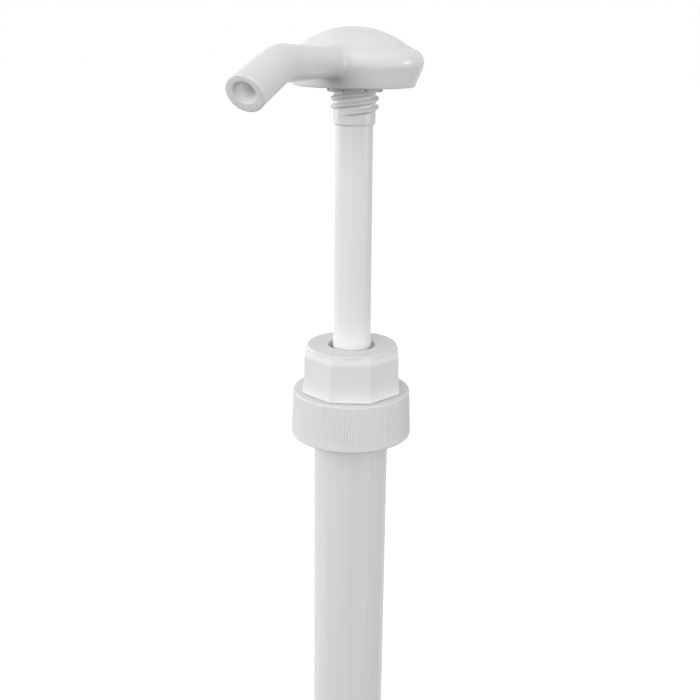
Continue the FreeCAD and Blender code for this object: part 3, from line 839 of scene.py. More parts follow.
# ---------------------------------------------------------------- pad and spout
@dataclass
class PadAndSpout(Piece):
    """Domed hand pad with its ribs, stem socket and bent spout, moulded in one."""

    name = "pad_and_spout"
    node = "pump_head"
    slot = "head_white"
    body = Body.PLUNGER
    stem: Stem
    rim_height: float = 107.8
    height: float = 18.22
    crown_radius: float = 29.5
    crown_share: float = 0.86
    brim_fall: float = 25.0
    brim_blend: float = 15.0
    edge_round: float = 4.0
    rim_half_width: float = 20.0
    skirt_lean: float = 22.2
    narrowness: float = 0.82
    forward: float = 1.2
    crown_points: int = 40
    blend_points: int = 12
    skirt_run: float = 6.0
    wall: float = 1.8
    rim_round: float = 0.35
    inner_sink: float = 0.4
    boss_radius: float = 8.9
    boss_foot: float = 108.0
    boss_fillet: float = 0.6
    rib_thickness: float = 1.2
    rib_rise: float = 2.6
    rib_fillet: float = 0.5
    root_above_rim: float = 6.95
    climb: float = 2.1
    fall: float = 18.6
    reach_to_bend: float = 56.6
    bend_radius: float = 22.0
    nozzle_length: float = 21.4
    mouth_angle: float = 30.5
    root_radius: float = 4.1
    knee_radius: float = 5.25
    mouth_radius: float = 5.5
    channel_radius: float = 2.6
    channel_mouth: float = 1.85
    lip_flare: float = 1.35
    lip_rise: float = 0.4
    lip_depth: float = 4.0
    lip_limit: float = 1.5
    lip_power: float = 1.5
    spout_fillet: float = 4.2
    bore_round: float = 0.2
    stem_gap: float = 0.02
    # the bore mark sets where the channel's wall gets painted light and more translucence
    bore_mark_start: float = 0.2
    bore_mark_full: float = 2.0
    bore_mark_reach: float = 0.2
    bore_mark_front: float = -2.0
    cell: float = 0.42

    def pad_outline(self) -> np.ndarray:
        """Half outline of the pad, its skirt run on below the rim.

        Returns:
            Closed points in the (r, z) half plane.
        """
        fall = math.radians(self.brim_fall)
        lean = math.radians(self.skirt_lean)
        brim_way = np.array([math.cos(fall), -math.sin(fall)])
        brim_normal = np.array([math.sin(fall), math.cos(fall)])
        skirt_way = np.array([-math.sin(lean), -math.cos(lean)])
        skirt_normal = np.array([math.cos(lean), -math.sin(lean)])
        radius = self.crown_radius
        centre = np.array([0.0, self.rim_height + self.height - radius])
        reach = self.crown_share * self.rim_half_width
        brim = np.array([reach, centre[1] + math.sqrt(radius ** 2 - reach ** 2)])
        foot = np.array([self.rim_half_width, self.rim_height])
        edge = brim + brim_way * ((foot - brim) @ skirt_normal) / (brim_way @ skirt_normal)
        base = brim + brim_normal * self.brim_blend - centre
        along = base @ brim_way
        excess = base @ base - (radius + self.brim_blend) ** 2
        blend_centre = centre + base + brim_way * (math.sqrt(along ** 2 - excess) - along)
        to_dome = (centre - blend_centre) / np.linalg.norm(centre - blend_centre)
        crown_end = blend_centre + to_dome * self.brim_blend
        sweep = math.atan2(crown_end[0], crown_end[1] - centre[1])
        points = [
            centre + radius * np.array([math.sin(t), math.cos(t)])
            for t in np.linspace(0, sweep, self.crown_points)
        ]
        first = math.atan2(-brim_normal[1], -brim_normal[0])
        last = math.atan2(to_dome[1], to_dome[0])
        points += [
            blend_centre + self.brim_blend * np.array([math.cos(t), math.sin(t)])
            for t in np.linspace(last, first, self.blend_points)[1:]
        ]
        end = foot + skirt_way * self.skirt_run
        lower = rounded_outline([tuple(points[-1]), (*edge, self.edge_round), tuple(end), (0.0, end[1])])
        return np.concatenate([np.array(points), lower[1:]])

    @cached_property
    def pad(self) -> OutlineField:
        """Distance to the pad's outline."""
        return OutlineField(self.pad_outline())

    @property
    def level(self) -> float:
        """Height where the spout's centre line leaves the axis."""
        return self.rim_height + self.root_above_rim

    @property
    def bend(self) -> float:
        """Whole turn of the bend, in radians."""
        return math.radians(self.climb + self.fall)

    @property
    def setback(self) -> float:
        """Distance of the bend's ends from the corner it rounds."""
        return self.bend_radius * math.tan(self.bend / 2)

    @property
    def knee(self) -> float:
        """Distance along the centre line where the bend starts."""
        return self.reach_to_bend / math.cos(math.radians(self.climb)) - self.setback

    def run(self, places: np.ndarray) -> tuple[np.ndarray, np.ndarray]:
        """Where places lie along the spout's centre line and how far off it they are.

        Args:
            places: points, shape (count, 3).

        Returns:
            Distances along the line and distances from it.
        """
        climb = math.radians(self.climb)
        radius = self.bend_radius
        back = -places[:, 1]
        rise = places[:, 2] - self.level
        out = rise * math.sin(climb) + back * math.cos(climb) - self.knee
        up = rise * math.cos(climb) - back * math.sin(climb)
        turn = np.arctan2(out, up + radius)
        exit_out = out - radius * math.sin(self.bend)
        exit_up = up - radius * (math.cos(self.bend) - 1)
        ahead = exit_out * math.cos(self.bend) - exit_up * math.sin(self.bend)
        lift = exit_out * math.sin(self.bend) + exit_up * math.cos(self.bend)
        stretches = [turn < 0, turn < self.bend]
        ways = [self.knee + out, self.knee + radius * turn]
        along = np.select(stretches, ways, self.knee + radius * self.bend + ahead)
        off = np.select(stretches, [up, np.hypot(out, up + radius) - radius], lift)
        return along, np.hypot(places[:, 0], off)

    @property
    def mouth(self) -> float:
        """Distance along the centre line where the nozzle ends."""
        return self.knee + self.bend_radius * self.bend + self.nozzle_length - self.setback

    def past_mouth(self, places: np.ndarray) -> np.ndarray:
        """How far places lie beyond the mouth's slanting face.

        Args:
            places: points, shape (count, 3).

        Returns:
            Distances, negative inside the spout.
        """
        fall = math.radians(self.fall)
        look = math.radians(self.mouth_angle)
        corner = self.level + self.reach_to_bend * math.tan(math.radians(self.climb))
        centre = np.array([
            0.0,
            -self.reach_to_bend - self.nozzle_length * math.cos(fall),
            corner - self.nozzle_length * math.sin(fall),
        ])
        return (places - centre) @ np.array([0.0, -math.cos(look), -math.sin(look)])

    def past_channel(self, places: np.ndarray, past: np.ndarray) -> np.ndarray:
        """Distance to the wall of the water channel, which flares and rises at the mouth.

        Args:
            places: points, shape (count, 3).
            past: distances beyond the mouth's face.

        Returns:
            Distances, negative in the channel.
        """
        fall = math.radians(self.fall)
        flare = np.clip(1 + past / self.lip_depth, 0, self.lip_limit) ** self.lip_power
        lift = np.array([0.0, -math.sin(fall), math.cos(fall)]) * self.lip_rise
        along, off = self.run(places - flare[:, None] * lift)
        radii = [self.channel_radius, self.channel_radius, self.channel_mouth]
        return off - np.interp(along, [0, self.knee, self.mouth], radii) - self.lip_flare * flare

    def distance(self, places: np.ndarray) -> np.ndarray:
        """Distance to the moulding's surface.

        Args:
            places: points, shape (count, 3).

        Returns:
            Distances, negative inside.
        """
        x, y, z = places.T
        outer = self.pad(np.hypot(x, (y + self.forward) / self.narrowness), z)
        r = np.hypot(x, y)
        shell = blend_max(outer, self.rim_height - z, self.rim_round)
        shell = blend_max(shell, -(outer + self.wall), self.rim_round)
        along, off = self.run(places)
        radii = [self.root_radius, self.knee_radius, self.mouth_radius]
        bore = np.interp(along, [0, self.knee, self.mouth], radii)
        spout = np.maximum(off - bore, y)
        head = blend_min(shell, spout, self.spout_fillet)
        inner = outer + self.inner_sink
        boss = np.maximum(np.maximum(r - self.boss_radius, self.boss_foot - z), inner)
        head = blend_min(head, boss, self.boss_fillet)
        turn = math.pi / 4
        for sign in (1.0, -1.0):
            flat = np.abs(x * math.sin(turn) + sign * y * math.cos(turn)) - self.rib_thickness / 2
            rib = np.maximum(np.maximum(flat, self.rim_height + self.rib_rise - z), inner)
            head = blend_min(head, rib, self.rib_fillet)
        past = self.past_mouth(places)
        head = blend_max(head, past, self.bore_round)
        channel = np.maximum(self.past_channel(places, past), y)
        socket = np.maximum(r - self.stem.radius(z) - self.stem_gap, z - self.stem.top_height)
        riser_top = self.level + self.channel_radius
        riser = np.maximum(r - self.stem.top_radius + self.stem.wall, z - riser_top)
        hollow = np.minimum(np.minimum(channel, socket), riser)
        return blend_max(head, -hollow, self.bore_round)

    def skin(self) -> Skin:
        """Wrap the moulding inside its solid's box."""
        low, high = (tuple(np.array(corner) / MM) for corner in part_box("pump_head"))
        return FieldSkin(self.distance, low, high, self.cell).skin()

    def work(self, piece: bpy.types.Object, skin: Skin) -> None:
        """Mark the wall of the water channel, where the finish paints it lighter as painted light and lets
        more light through.

        Args:
            piece: the moulding.
            skin: its skin.
        """
        past = self.past_mouth(skin.points)
        depth = ramp(-past, self.bore_mark_start, self.bore_mark_full)
        walls = self.past_channel(skin.points, past) < self.bore_mark_reach
        walls &= skin.points[:, 1] < self.bore_mark_front
        bore = piece.data.attributes.new("bore", "FLOAT", "POINT")
        bore.data.foreach_set("value", (depth * walls).astype(np.float32))


# ---------------------------------------------------------------- lock plug
@dataclass
class LockPlug(Piece):
    """Threaded plug under the pad, with a flange of lugs."""

    name = "threaded_plug"
    node = "lock_plug"
    slot = "plug_white"
    body = Body.PLUNGER
    stem: Stem
    bottom: float = 95.6
    flange_bottom: float = 106.0
    flange_top: float = 108.0
    radius: float = 6.85
    flange_radius: float = 9.1
    lugs: int = 8
    lug_turn: float = -0.6
    notch_width: float = 0.9
    notch_depth: float = 1.1
    thread: Thread = Thread(5.3, 2, 1.0, 2.2, 0.35, 100.83, 99.0, 106.6, 1.2)
    foot_round: float = 0.7
    flange_round: float = 0.4
    lug_round: float = 0.25
    fillet: float = 0.6
    bore_round: float = 0.1
    stem_gap: float = 0.02
    margin: float = 0.3
    cell: float = 0.2
    relax: int = 2

    def distance(self, places: np.ndarray) -> np.ndarray:
        """Distance to the plug's surface.

        Args:
            places: points, shape (count, 3).

        Returns:
            Distances, negative inside.
        """
        x, y, z = places.T
        r = np.hypot(x, y)
        angle = np.arctan2(y, x)
        wall = r - self.radius - self.thread.rise(angle, z)
        body = blend_max(wall, self.bottom - z, self.foot_round)
        body = np.maximum(body, z - self.flange_top)
        flange = blend_max(r - self.flange_radius, self.flange_bottom - z, self.flange_round)
        flange = blend_max(flange, z - self.flange_top, self.lug_round)
        step = FULL_TURN / self.lugs
        local = (angle - math.radians(self.lug_turn) + step / 2) % step - step / 2
        notch = np.maximum(
            np.abs(r * np.sin(local)) - self.notch_width / 2,
            self.flange_radius - self.notch_depth - r,
        )
        flange = blend_max(flange, -notch, self.lug_round)
        plug = blend_min(body, flange, self.fillet)
        return blend_max(plug, self.stem.radius(z) + self.stem_gap - r, self.bore_round)

    def skin(self) -> Skin:
        """Wrap the plug.

        Returns:
            The closed skin.
        """
        reach = self.flange_radius + self.margin
        low = (-reach, -reach, self.bottom - self.margin)
        high = (reach, reach, self.flange_top + self.margin)
        return FieldSkin(self.distance, low, high, self.cell, self.relax).skin()


# ---------------------------------------------------------------- lock nut
@dataclass
class LockNut(Piece):
    """Eight-sided nut with a round top, a threaded bore and a threaded hole for the plug."""

    name = "eight_sided_nut"
    node = "lock_nut"
    slot = "nut_white"
    body = Body.BARREL
    bottom: float = 4.95
    top: float = 20.9
    sides: int = 8
    turn: float = 20.5
    apothem: float = 16.35
    top_apothem: float = 16.1
    flare: float = 0.55
    flare_height: float = 6.4
    corner_round: float = 0.5
    disc_radius: float = 15.4
    disc_edge: float = 1.0
    disc_round: float = 0.35
    chamfer_reach: float = 15.1
    chamfer_fall: float = 59.0
    bore_radius: float = 14.6
    plate_bottom: float = 18.6
    hub_radius: float = 10.3
    hub_bottom: float = 12.2
    hole_radius: float = 8.1
    rib_thickness: float = 1.1
    hole_thread: Thread = Thread(5.3, 2, 0.95, 1.7, 0.5, 17.46, 12.6, 19.8, 0.9)
    bore_thread: Thread = Thread(3.0, 1, 1.2, 1.8, 0.5, 6.5, 5.6, 12.2, 0.8)
    edge_round: float = 0.4
    plate_round: float = 0.2
    disc_fillet: float = 0.15
    bore_round: float = 0.3
    hole_round: float = 0.25
    rib_fillet: float = 0.4
    rib_sink: float = 0.5
    hole_flare: float = 0.1
    flare_depth: float = 0.4
    cell: float = 0.34

    def distance(self, places: np.ndarray) -> np.ndarray:
        """Distance to the nut's surface.

        Args:
            places: points, shape (count, 3).

        Returns:
            Distances, negative inside.
        """
        step = FULL_TURN / self.sides
        first = math.radians(self.turn - 90.0)
        fall = math.radians(self.chamfer_fall)
        x, y, z = places.T
        r = np.hypot(x, y)
        angle = np.arctan2(y, x)
        local = (angle - first + step / 2) % step - step / 2
        near = r * np.cos(local)
        beside = r * np.cos(step - np.abs(local))
        reach = blend_max(near, beside, self.corner_round)
        rise = np.clip((z - self.bottom) / (self.top - self.bottom), 0, 1)
        low = np.clip(1 - (z - self.bottom) / self.flare_height, 0, 1)
        width = self.apothem + (self.top_apothem - self.apothem) * rise + self.flare * low * low
        disc_bottom = self.top - self.disc_edge
        chamfer = (reach - self.chamfer_reach) * math.sin(fall) + (z - disc_bottom) * math.cos(fall)
        nut = blend_max(reach - width, chamfer, self.edge_round)
        nut = blend_max(nut, z - disc_bottom, self.plate_round)
        disc = blend_max(r - self.disc_radius, z - self.top, self.disc_round)
        nut = blend_min(nut, disc, self.disc_fillet)
        nut = blend_max(nut, self.bottom - z, self.edge_round)
        wall = self.bore_radius - self.bore_thread.rise(angle, z)
        nut = blend_max(nut, -np.maximum(r - wall, z - self.plate_bottom), self.bore_round)
        span = np.maximum(self.hub_bottom - z, z - self.plate_bottom - self.rib_sink)
        hub = np.maximum(r - self.hub_radius, span)
        cross = np.minimum(np.abs(r * np.sin(angle - first)), np.abs(r * np.cos(angle - first)))
        rib = np.maximum(cross - self.rib_thickness / 2, r - self.bore_radius - self.rib_sink)
        nut = blend_min(nut, hub, self.rib_fillet)
        nut = blend_min(nut, np.maximum(rib, span), self.rib_fillet)
        hole = self.hole_radius - self.hole_thread.rise(angle, z)
        hole = hole + self.hole_flare * ramp(z, self.top - self.flare_depth, self.top)
        return blend_max(nut, hole - r, self.hole_round)

    def skin(self) -> Skin:
        """Wrap the nut inside its solid's box."""
        low, high = (tuple(np.array(corner) / MM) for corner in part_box("lock_nut"))
        return FieldSkin(self.distance, low, high, self.cell).skin()


# ---------------------------------------------------------------- closure
@dataclass
class Closure(Piece):
    """Finely ribbed screw closure with its neck thread."""

    name = "ribbed_closure"
    node = "screw_cap"
    slot = "cap_white"
    body = Body.CLOSURE
    sharp = 40.0
    bottom: float = -11.4
    plate_bottom: float = 3.2
    top: float = 4.8
    rim_radius: float = 21.07
    top_radius: float = 20.4
    bore_radius: float = 19.1
    hole_radius: float = 13.5
    shoulder_round: float = 0.8
    edge_round: float = 0.3
    foot_round: float = 0.5
    skirt_step: float = 0.9
    thread_step: float = 0.28
    band: float = 1.6
    band_margin: float = 0.3
    bore_margin: float = 0.4
    ribs: int = 132
    rib_depth: float = 0.2
    rib_shape: float = 0.8
    rib_run_in: float = 0.25
    columns_per_rib: int = 7
    thread: Thread = Thread(4.233, 1, 1.35, 2.2, 0.8, -6.0, -8.6, 0.2, 1.0)

    def shift(self, r: np.ndarray, z: np.ndarray, angle: np.ndarray) -> tuple[np.ndarray, np.ndarray]:
        """Sink the grooves between the ribs and raise the neck thread.

        Args:
            r: radii of the plain turning.
            z: heights.
            angle: angles round the axis.

        Returns:
            The changed radii and the heights.
        """
        slope = (self.rim_radius - self.top_radius) / (self.top - self.bottom)
        skirt = self.rim_radius - slope * (z - self.bottom)
        wave = (0.5 + 0.5 * np.cos(angle * self.ribs)) ** self.rib_shape
        start = self.bottom + self.band
        depth = self.rib_depth * ramp(z, start - self.rib_run_in, start + self.rib_run_in)
        outer = (r > self.bore_radius + self.bore_margin) & (z > start - self.band_margin)
        grooved = np.minimum(r, skirt - depth * wave)
        inner = np.abs(r - self.bore_radius) < ON_WALL
        threaded = r - self.thread.rise(angle, z)
        return np.where(outer, grooved, np.where(inner, threaded, r)), z

    def skin(self) -> Skin:
        """Turn the closure.

        Returns:
            The closed skin.
        """
        corners = [
            (self.hole_radius, self.plate_bottom),
            (self.hole_radius, self.top, self.edge_round),
            (self.top_radius, self.top, self.shoulder_round, self.skirt_step),
            (self.rim_radius, self.bottom, self.foot_round),
            (self.bore_radius, self.bottom, self.edge_round, self.thread_step),
            (self.bore_radius, self.plate_bottom),
        ]
        return Turning(corners, self.ribs * self.columns_per_rib, self.shift).skin()


# ---------------------------------------------------------------- barrel
@dataclass
class Barrel(Piece):
    """Pump cylinder: flange, threaded neck, cone, valve seat and tube socket."""

    name = "barrel_cylinder"
    node = "barrel"
    slot = "barrel_white"
    body = Body.BARREL
    sharp = 40.0
    bore_radius: float = 11.5
    radius: float = 13.07
    neck_top: float = 11.0
    flange_top: float = 3.1
    flange_bottom: float = 1.5
    flange_radius: float = 17.9
    shoulder: float = -126.65
    foot_top: float = -132.72
    foot_radius: float = 7.0
    foot_end: float = -152.23
    foot_end_radius: float = 6.7
    socket_radius: float = 4.77
    web_bottom: float = -138.73
    port_radius: float = 2.964
    port_top: float = -137.53
    seat_top: float = -134.0
    chamber_radius: float = 5.0
    chamber_top: float = -132.5
    floor: float = -126.0
    vent_radius: float = 1.0
    vent_height: float = -6.0
    drill_reach: float = 2.0
    drill_depth: float = 0.8
    drill_columns: int = 32
    edge_round: float = 0.3
    shoulder_round: float = 1.5
    foot_round: float = 1.0
    wall_step: float = 4.0
    foot_step: float = 2.0
    thread_step: float = 0.25
    columns: int = 192
    thread: Thread = Thread(3.0, 1, 1.1, 1.6, 0.4, 5.0, 4.4, 11.6, 0.8)

    def shift(self, r: np.ndarray, z: np.ndarray, angle: np.ndarray) -> tuple[np.ndarray, np.ndarray]:
        """Raise the nut's thread on the neck."""
        neck = (np.abs(r - self.radius) < ON_WALL) & (z > self.flange_top)
        return np.where(neck, r + self.thread.rise(angle, z), r), z

    def skin(self) -> Skin:
        """Turn the barrel.

        Returns:
            The closed skin.
        """
        corners = [
            (self.bore_radius, self.neck_top, self.edge_round),
            (self.radius, self.neck_top, self.edge_round, self.thread_step),
            (self.radius, self.flange_top),
            (self.flange_radius, self.flange_top, self.edge_round),
            (self.flange_radius, self.flange_bottom, self.edge_round),
            (self.radius, self.flange_bottom, 0.0, self.wall_step),
            (self.radius, self.shoulder, self.shoulder_round),
            (self.foot_radius, self.foot_top, self.foot_round, self.foot_step),
            (self.foot_end_radius, self.foot_end, self.edge_round),
            (self.socket_radius, self.foot_end, self.edge_round),
            (self.socket_radius, self.web_bottom),
            (self.port_radius, self.web_bottom),
            (self.port_radius, self.port_top),
            (self.chamber_radius, self.seat_top),
            (self.chamber_radius, self.chamber_top),
            (self.bore_radius, self.floor, 0.0, self.wall_step),
        ]
        return Turning(corners, self.columns, self.shift).skin()

    def work(self, piece: bpy.types.Object, skin: Skin) -> None:
        """Drill the air vent through the wall.

        Args:
            piece: the barrel.
            skin: its skin before the drilling; not used.
        """
        reach = self.drill_reach
        corners = [(0.0, -reach), (self.vent_radius, -reach), (self.vent_radius, reach), (0.0, reach)]
        drill = Turning(corners, self.drill_columns).skin().to_object("vent_drill")
        turn = Matrix.Rotation(math.radians(90.0), 4, "X")
        place = Matrix.Translation(Vector((0.0, self.radius - self.drill_depth, self.vent_height)) * MM)
        drill.data.transform(place @ turn)
        cut = piece.modifiers.new("vent", "BOOLEAN")
        cut.operation = "DIFFERENCE"
        cut.solver = "EXACT"
        cut.object = drill
        bpy.context.view_layer.update()
        shape = bpy.data.meshes.new_from_object(piece.evaluated_get(bpy.context.evaluated_depsgraph_get()))
        piece.modifiers.clear()
        piece.data = shape
        shape.shade_smooth()
        shape.set_sharp_from_angle(angle=math.radians(self.sharp))
        bpy.data.objects.remove(drill)


# ---------------------------------------------------------------- inner parts
@dataclass
class DipTube(Piece):
    """Straight stiff tube with a slanted open end."""

    name = "dip_tube_run"
    node = "dip_tube"
    slot = "tube_natural"
    body = Body.BARREL
    sharp = 40.0
    top: float = -138.73
    bottom: float = -245.0
    radius: float = 4.75
    wall: float = 1.0
    notch: float = 4.0
    end_run: float = 6.0
    edge_round: float = 0.1
    wall_step: float = 8.0
    slant_margin: float = 0.3
    end_margin: float = 0.2
    columns: int = 96

    def shift(self, r: np.ndarray, z: np.ndarray, angle: np.ndarray) -> tuple[np.ndarray, np.ndarray]:
        """Slant the lower end.

        Args:
            r: radii of the plain turning.
            z: heights.
            angle: angles round the axis.

        Returns:
            The radii and the changed heights.
        """
        side = self.radius + self.slant_margin
        slant = self.notch * (r * np.cos(angle) + side) / (2 * side)
        return r, np.where(z < self.bottom + self.end_margin, z + slant, z)

    def skin(self) -> Skin:
        """Turn the tube.

        Returns:
            The closed skin.
        """
        bore = self.radius - self.wall
        corners = [
            (bore, self.top, self.edge_round),
            (bore, self.bottom + self.end_run),
            (bore, self.bottom, self.edge_round),
            (self.radius, self.bottom, self.edge_round),
            (self.radius, self.bottom + self.end_run, 0.0, self.wall_step),
            (self.radius, self.top, self.edge_round),
        ]
        return Turning(corners, self.columns, self.shift).skin()


@dataclass
class ReturnSpring(Piece):
    """Compression spring with closed, ground ends."""

    name = "spring_coil"
    node = "return_spring"
    slot = "spring_steel"
    body = Body.BARREL
    sharp = 70.0
    bottom: float = -123.9
    top: float = -18.4
    mean_radius: float = 8.6
    wire_radius: float = 0.65
    turns: float = 10.0
    closed_turns: float = 1.0
    closed_share: float = 0.75
    stroke: float = 84.7
    steps_per_turn: int = 60
    round_steps: int = 14
    smoothing: int = 30

    def centre_line(self) -> np.ndarray:
        """Centre line of the wire, its end turns closed.

        Returns:
            Points, shape (count, 3).
        """
        count = int(self.turns * self.steps_per_turn) + 1
        turn = np.linspace(0, self.turns, count)
        closed = self.closed_turns
        length = self.top - self.bottom
        pitch = 2 * self.wire_radius * self.closed_share
        free = (length - 2 * pitch * closed) / (self.turns - 2 * closed)
        knots = [0, closed, self.turns - closed, self.turns]
        heights = [0, pitch * closed, pitch * closed + free * (self.turns - 2 * closed), length]
        rise = np.interp(turn, knots, heights)
        near = self.smoothing
        kernel = np.hanning(near + 1)
        before = 2 * rise[0] - rise[near:0:-1]
        after = 2 * rise[-1] - rise[-2:-near - 2:-1]
        padded = np.concatenate([before, rise, after])
        rise = np.convolve(padded, kernel / kernel.sum(), "same")[near:-near]
        angle = FULL_TURN * turn
        return np.stack([
            self.mean_radius * np.cos(angle),
            self.mean_radius * np.sin(angle),
            self.bottom + rise,
        ], -1)

    def skin(self) -> Skin:
        """Sweep the wire and grind its ends flat.

        Returns:
            The closed skin.
        """
        line = self.centre_line()
        along = np.gradient(line, axis=0)
        along /= np.linalg.norm(along, axis=1, keepdims=True)
        out = line * np.array([1.0, 1.0, 0.0])
        out /= np.linalg.norm(out, axis=1, keepdims=True)
        up = np.cross(along, out)
        turn = np.linspace(0, FULL_TURN, self.round_steps, endpoint=False)[None, :, None]
        ring = np.cos(turn) * out[:, None, :] + np.sin(turn) * up[:, None, :]
        points = (line[:, None, :] + self.wire_radius * ring).reshape(-1, 3)
        points[:, 2] = np.clip(points[:, 2], self.bottom, self.top)
        caps = []
        last = (len(line) - 1) * self.round_steps
        for index in range(1, self.round_steps - 2, 2):
            caps.append([0, index + 2, index + 1, index])
            caps.append([last, last + index, last + index + 1, last + index + 2])
        quads = np.concatenate([ring_quads(len(line), self.round_steps, False), np.array(caps)])
        return Skin(points, quads[:, ::-1])

    def build(self, material: bpy.types.Material) -> bpy.types.Object:
        """Build and dress the spring, and give it a mesh of its own.

        Args:
            material: its finish.

        Returns:
            The piece.
        """
        piece = super().build(material)
        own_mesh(piece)
        return piece


@dataclass
class InnerParts:
    """Finishes of the parts whose CAD shapes are shown as they are."""

    finishes: dict[str, bpy.types.Material]

    def build(self) -> None:
        """Dress each node."""
        for node, material in self.finishes.items():
            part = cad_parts[node]
            part.data.materials.clear()
            part.data.materials.append(material)
            for polygon in part.data.polygons:
                polygon.material_index = 0
            LOG.info("%s: carried over", node)


# ---------------------------------------------------------------- studio
@dataclass
class Studio:
    """Camera, floor, lamps and world."""

    floor_height: float = -245.6
    focal: float = 54.309
    distance: float = 348.8
    height: float = 130.6
    swing: float = 21.5
    pitch: float = 17.81
    roll: float = 0.65
    yaw: float = -0.10
    ambient: float = 0.50
    floor_tone: float = 0.03
    floor_glow: float = 0.60
    foot_glow: float = 0.26
    foot_reach: tuple[float, float] = (0.06, 0.24)
    lamp_reach: float = 1.3
    lamp_side: float = 0.5
    lamp_target: Triple = (0.0, 0.0, 0.04)
    floor_reach: float = 6.0
    paper: Colour = (0.85, 0.85, 0.85, 1.0)
    sensor: float = 36.0
    clip: tuple[float, float] = (0.01, 20.0)

    def facing(self) -> Matrix:
        """Turn about the pump's axis from the spout's side to the camera's."""
        return Matrix.Rotation(math.radians(self.swing), 4, "Z")

    def camera(self) -> None:
        """Set up the camera."""
        pitch, roll, yaw = (math.radians(angle) for angle in (self.pitch, self.roll, self.yaw))
        ahead = Vector((math.sin(yaw), math.cos(yaw), 0.0))
        right = Vector((math.cos(yaw), -math.sin(yaw), 0.0))
        forward = ahead * math.cos(pitch) + Vector((0.0, 0.0, -math.sin(pitch)))
        up = ahead * math.sin(pitch) + Vector((0.0, 0.0, math.cos(pitch)))
        rolled_right = right * math.cos(roll) + up * math.sin(roll)
        rolled_up = up * math.cos(roll) - right * math.sin(roll)
        axes = Matrix((rolled_right, rolled_up, -forward)).transposed().to_4x4()
        place = Matrix.Translation(Vector((0.0, -self.distance, self.height)) * MM)
        data = bpy.data.cameras.new("camera")
        data.lens = self.focal
        data.sensor_width = self.sensor
        data.clip_start, data.clip_end = self.clip
        camera = bpy.data.objects.new("camera", data)
        camera.matrix_world = self.facing() @ place @ axes
        bpy.context.scene.collection.objects.link(camera)
        bpy.context.scene.camera = camera

    def lamp(self, name: str, turn: float, climb: float, power: float) -> None:
        """Add a soft square lamp that faces the pump.

        Args:
            name: name of the lamp.
            turn: degrees round the pump from the camera, positive to its right.
            climb: degrees above the pump's middle.
            power: watts.
        """
        data = bpy.data.lights.new(name, "AREA")
        data.shape = "SQUARE"
        data.size = self.lamp_side
        data.energy = power
        lamp = bpy.data.objects.new(name, data)
        across, up = math.radians(turn), math.radians(climb)
        way = Vector((math.sin(across) * math.cos(up), -math.cos(across) * math.cos(up), math.sin(up)))
        place = Matrix.Translation(Vector(self.lamp_target) + way * self.lamp_reach)
        look = (-way).to_track_quat("-Z", "Y").to_matrix().to_4x4()
        lamp.matrix_world = self.facing() @ place @ look
        bpy.context.scene.collection.objects.link(lamp)

    @staticmethod
    def two_faced(sheet: NodeSheet, out: bpy.types.Node, lit: bpy.types.NodeSocket,
                  seen: bpy.types.NodeSocket) -> None:
        """Show one shader and light the pump with another.

        Args:
            sheet: the sheet of the floor or the world.
            out: its output node.
            lit: shader for rays that carry light.
            seen: shader for camera, glossy and transmission rays.
        """
        path = sheet.add("LightPath")
        total = path.outputs["Is Camera Ray"]
        for name in ("Is Glossy Ray", "Is Transmission Ray"):
            either = sheet.add("Math")
            either.operation = "MAXIMUM"
            sheet.link(total, either.inputs[0])
            sheet.link(path.outputs[name], either.inputs[1])
            total = either.outputs["Value"]
        mix = sheet.add("MixShader")
        sheet.link(total, mix.inputs["Fac"])
        sheet.link(lit, mix.inputs[1])
        sheet.link(seen, mix.inputs[2])
        sheet.link(mix.outputs["Shader"], out.inputs["Surface"])

    def world(self) -> None:
        """White surroundings: full white to the camera, softer as light."""
        world = bpy.data.worlds.new("studio")
        bpy.context.scene.world = world
        sheet = NodeSheet.blank(world)
        seen = sheet.add("Background", Color=WHITE, Strength=1.0)
        lit = sheet.add("Background", Color=WHITE, Strength=self.ambient)
        out = sheet.add("OutputWorld")
        self.two_faced(sheet, out, lit.outputs["Background"], seen.outputs["Background"])

    def floor(self) -> None:
        """Floor that looks white, keeps the pump's shadow and throws little light upwards."""
        mesh = bpy.data.meshes.new("floor")
        reach, z = self.floor_reach, self.floor_height * MM
        corners = [(-reach, -reach, z), (reach, -reach, z), (reach, reach, z), (-reach, reach, z)]
        mesh.from_pydata(corners, [], [(0, 1, 2, 3)])
        floor = bpy.data.objects.new("floor", mesh)
        bpy.context.scene.collection.objects.link(floor)
        sheet = NodeSheet.blank(bpy.data.materials.new("floor_paper"))
        paper = sheet.add("BsdfDiffuse", Color=self.paper)
        glow = sheet.add("Emission", Color=WHITE)
        off = sheet.add("VectorMath")
        off.operation = "LENGTH"
        sheet.link(sheet.place((1.0, 1.0, 0.0)), off.inputs[0])
        rise = sheet.spread(off.outputs["Value"], self.foot_glow, self.floor_glow, *self.foot_reach)
        sheet.link(rise, glow.inputs["Strength"])
        shown = sheet.add("AddShader")
        sheet.link(paper.outputs["BSDF"], shown.inputs[0])
        sheet.link(glow.outputs["Emission"], shown.inputs[1])
        dim = sheet.add("BsdfDiffuse", Color=(*[self.floor_tone] * 3, 1.0))
        out = sheet.add("OutputMaterial")
        self.two_faced(sheet, out, dim.outputs["BSDF"], shown.outputs["Shader"])
        mesh.materials.append(sheet.owner)

    def build(self) -> None:
        """Set up the whole studio."""
        self.camera()
        self.world()
        self.floor()
        self.lamp("front", -24.0, 13.0, 7.3)
        self.lamp("right", 80.0, 8.0, 4.8)
        self.lamp("left_behind", -120.0, 8.0, 4.4)
        self.lamp("left_above", -70.0, 30.0, 3.0)
        self.lamp("front_below", 30.0, -8.0, 1.4)
        bpy.context.scene.view_settings.view_transform = "Standard"


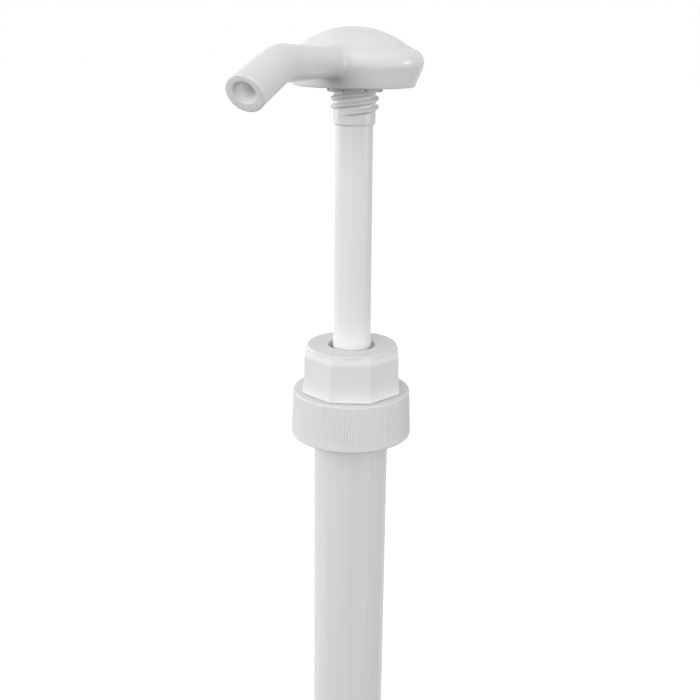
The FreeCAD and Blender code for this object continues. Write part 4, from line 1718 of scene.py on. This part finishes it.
def main() -> None:
    """Build the pump's pieces in order."""
    logging.basicConfig(level=logging.INFO, format="%(message)s")
    white = (0.80, 0.80, 0.80)
    bright = (0.83, 0.83, 0.83)
    plain = (0.78, 0.78, 0.78)
    # the pad's water channel is painted lighter inside: painted light
    pad_white = MouldedPlastic("pad_white", bright, Gloss.POLISHED, coat=0.3, bore_painted_light=0.97).build()
    plug_white = MouldedPlastic("plug_white", bright, Gloss.POLISHED, coat=0.3).build()
    stem_tone = (0.85, 0.85, 0.85)
    stem_white = MouldedPlastic("stem_white", stem_tone, Gloss.SMOOTH, flow=(90.0, 90.0, 12.0)).build()
    nut_white = MouldedPlastic("nut_white", white, Gloss.SATIN).build()
    cap_white = MouldedPlastic("cap_white", plain, Gloss.SATIN).build()
    barrel_white = MouldedPlastic("barrel_white", plain, Gloss.SMOOTH, 0.04, (420.0, 420.0, 9.0)).build()
    guide_white = MouldedPlastic("guide_white", white, Gloss.SATIN).build()
    soft_seal = MouldedPlastic("soft_seal", (0.74, 0.77, 0.80), Gloss.DULL, translucence=0.3).build()
    natural_tube = MouldedPlastic(
        "natural_tube", (0.76, 0.78, 0.80), Gloss.SMOOTH, 0.03, (80.0, 80.0, 10.0), translucence=0.3).build()
    valve_steel = DrawnSteel("valve_steel", 0.10).build()
    spring_steel = DrawnSteel("spring_steel", 0.26, (2500.0, 2500.0, 400.0)).build()
    gasket_foam = FoamSheet("gasket_foam").build()
    stem = Stem()
    stem.build(stem_white)
    PadAndSpout(stem).build(pad_white)
    LockPlug(stem).build(plug_white)
    LockNut().build(nut_white)
    Closure().build(cap_white)
    Barrel().build(barrel_white)
    DipTube().build(natural_tube)
    ReturnSpring().build(spring_steel)
    InnerParts({
        "neck_gasket": gasket_foam,
        "stem_guide": guide_white,
        "stem_wiper": soft_seal,
        "piston_carrier": guide_white,
        "piston_seal": soft_seal,
        "outlet_ball": valve_steel,
        "inlet_ball": valve_steel,
        "outlet_ball_stop": guide_white,
        "inlet_ball_cage": guide_white,
    }).build()
    Studio().build()


if __name__ == "__main__":
    main()
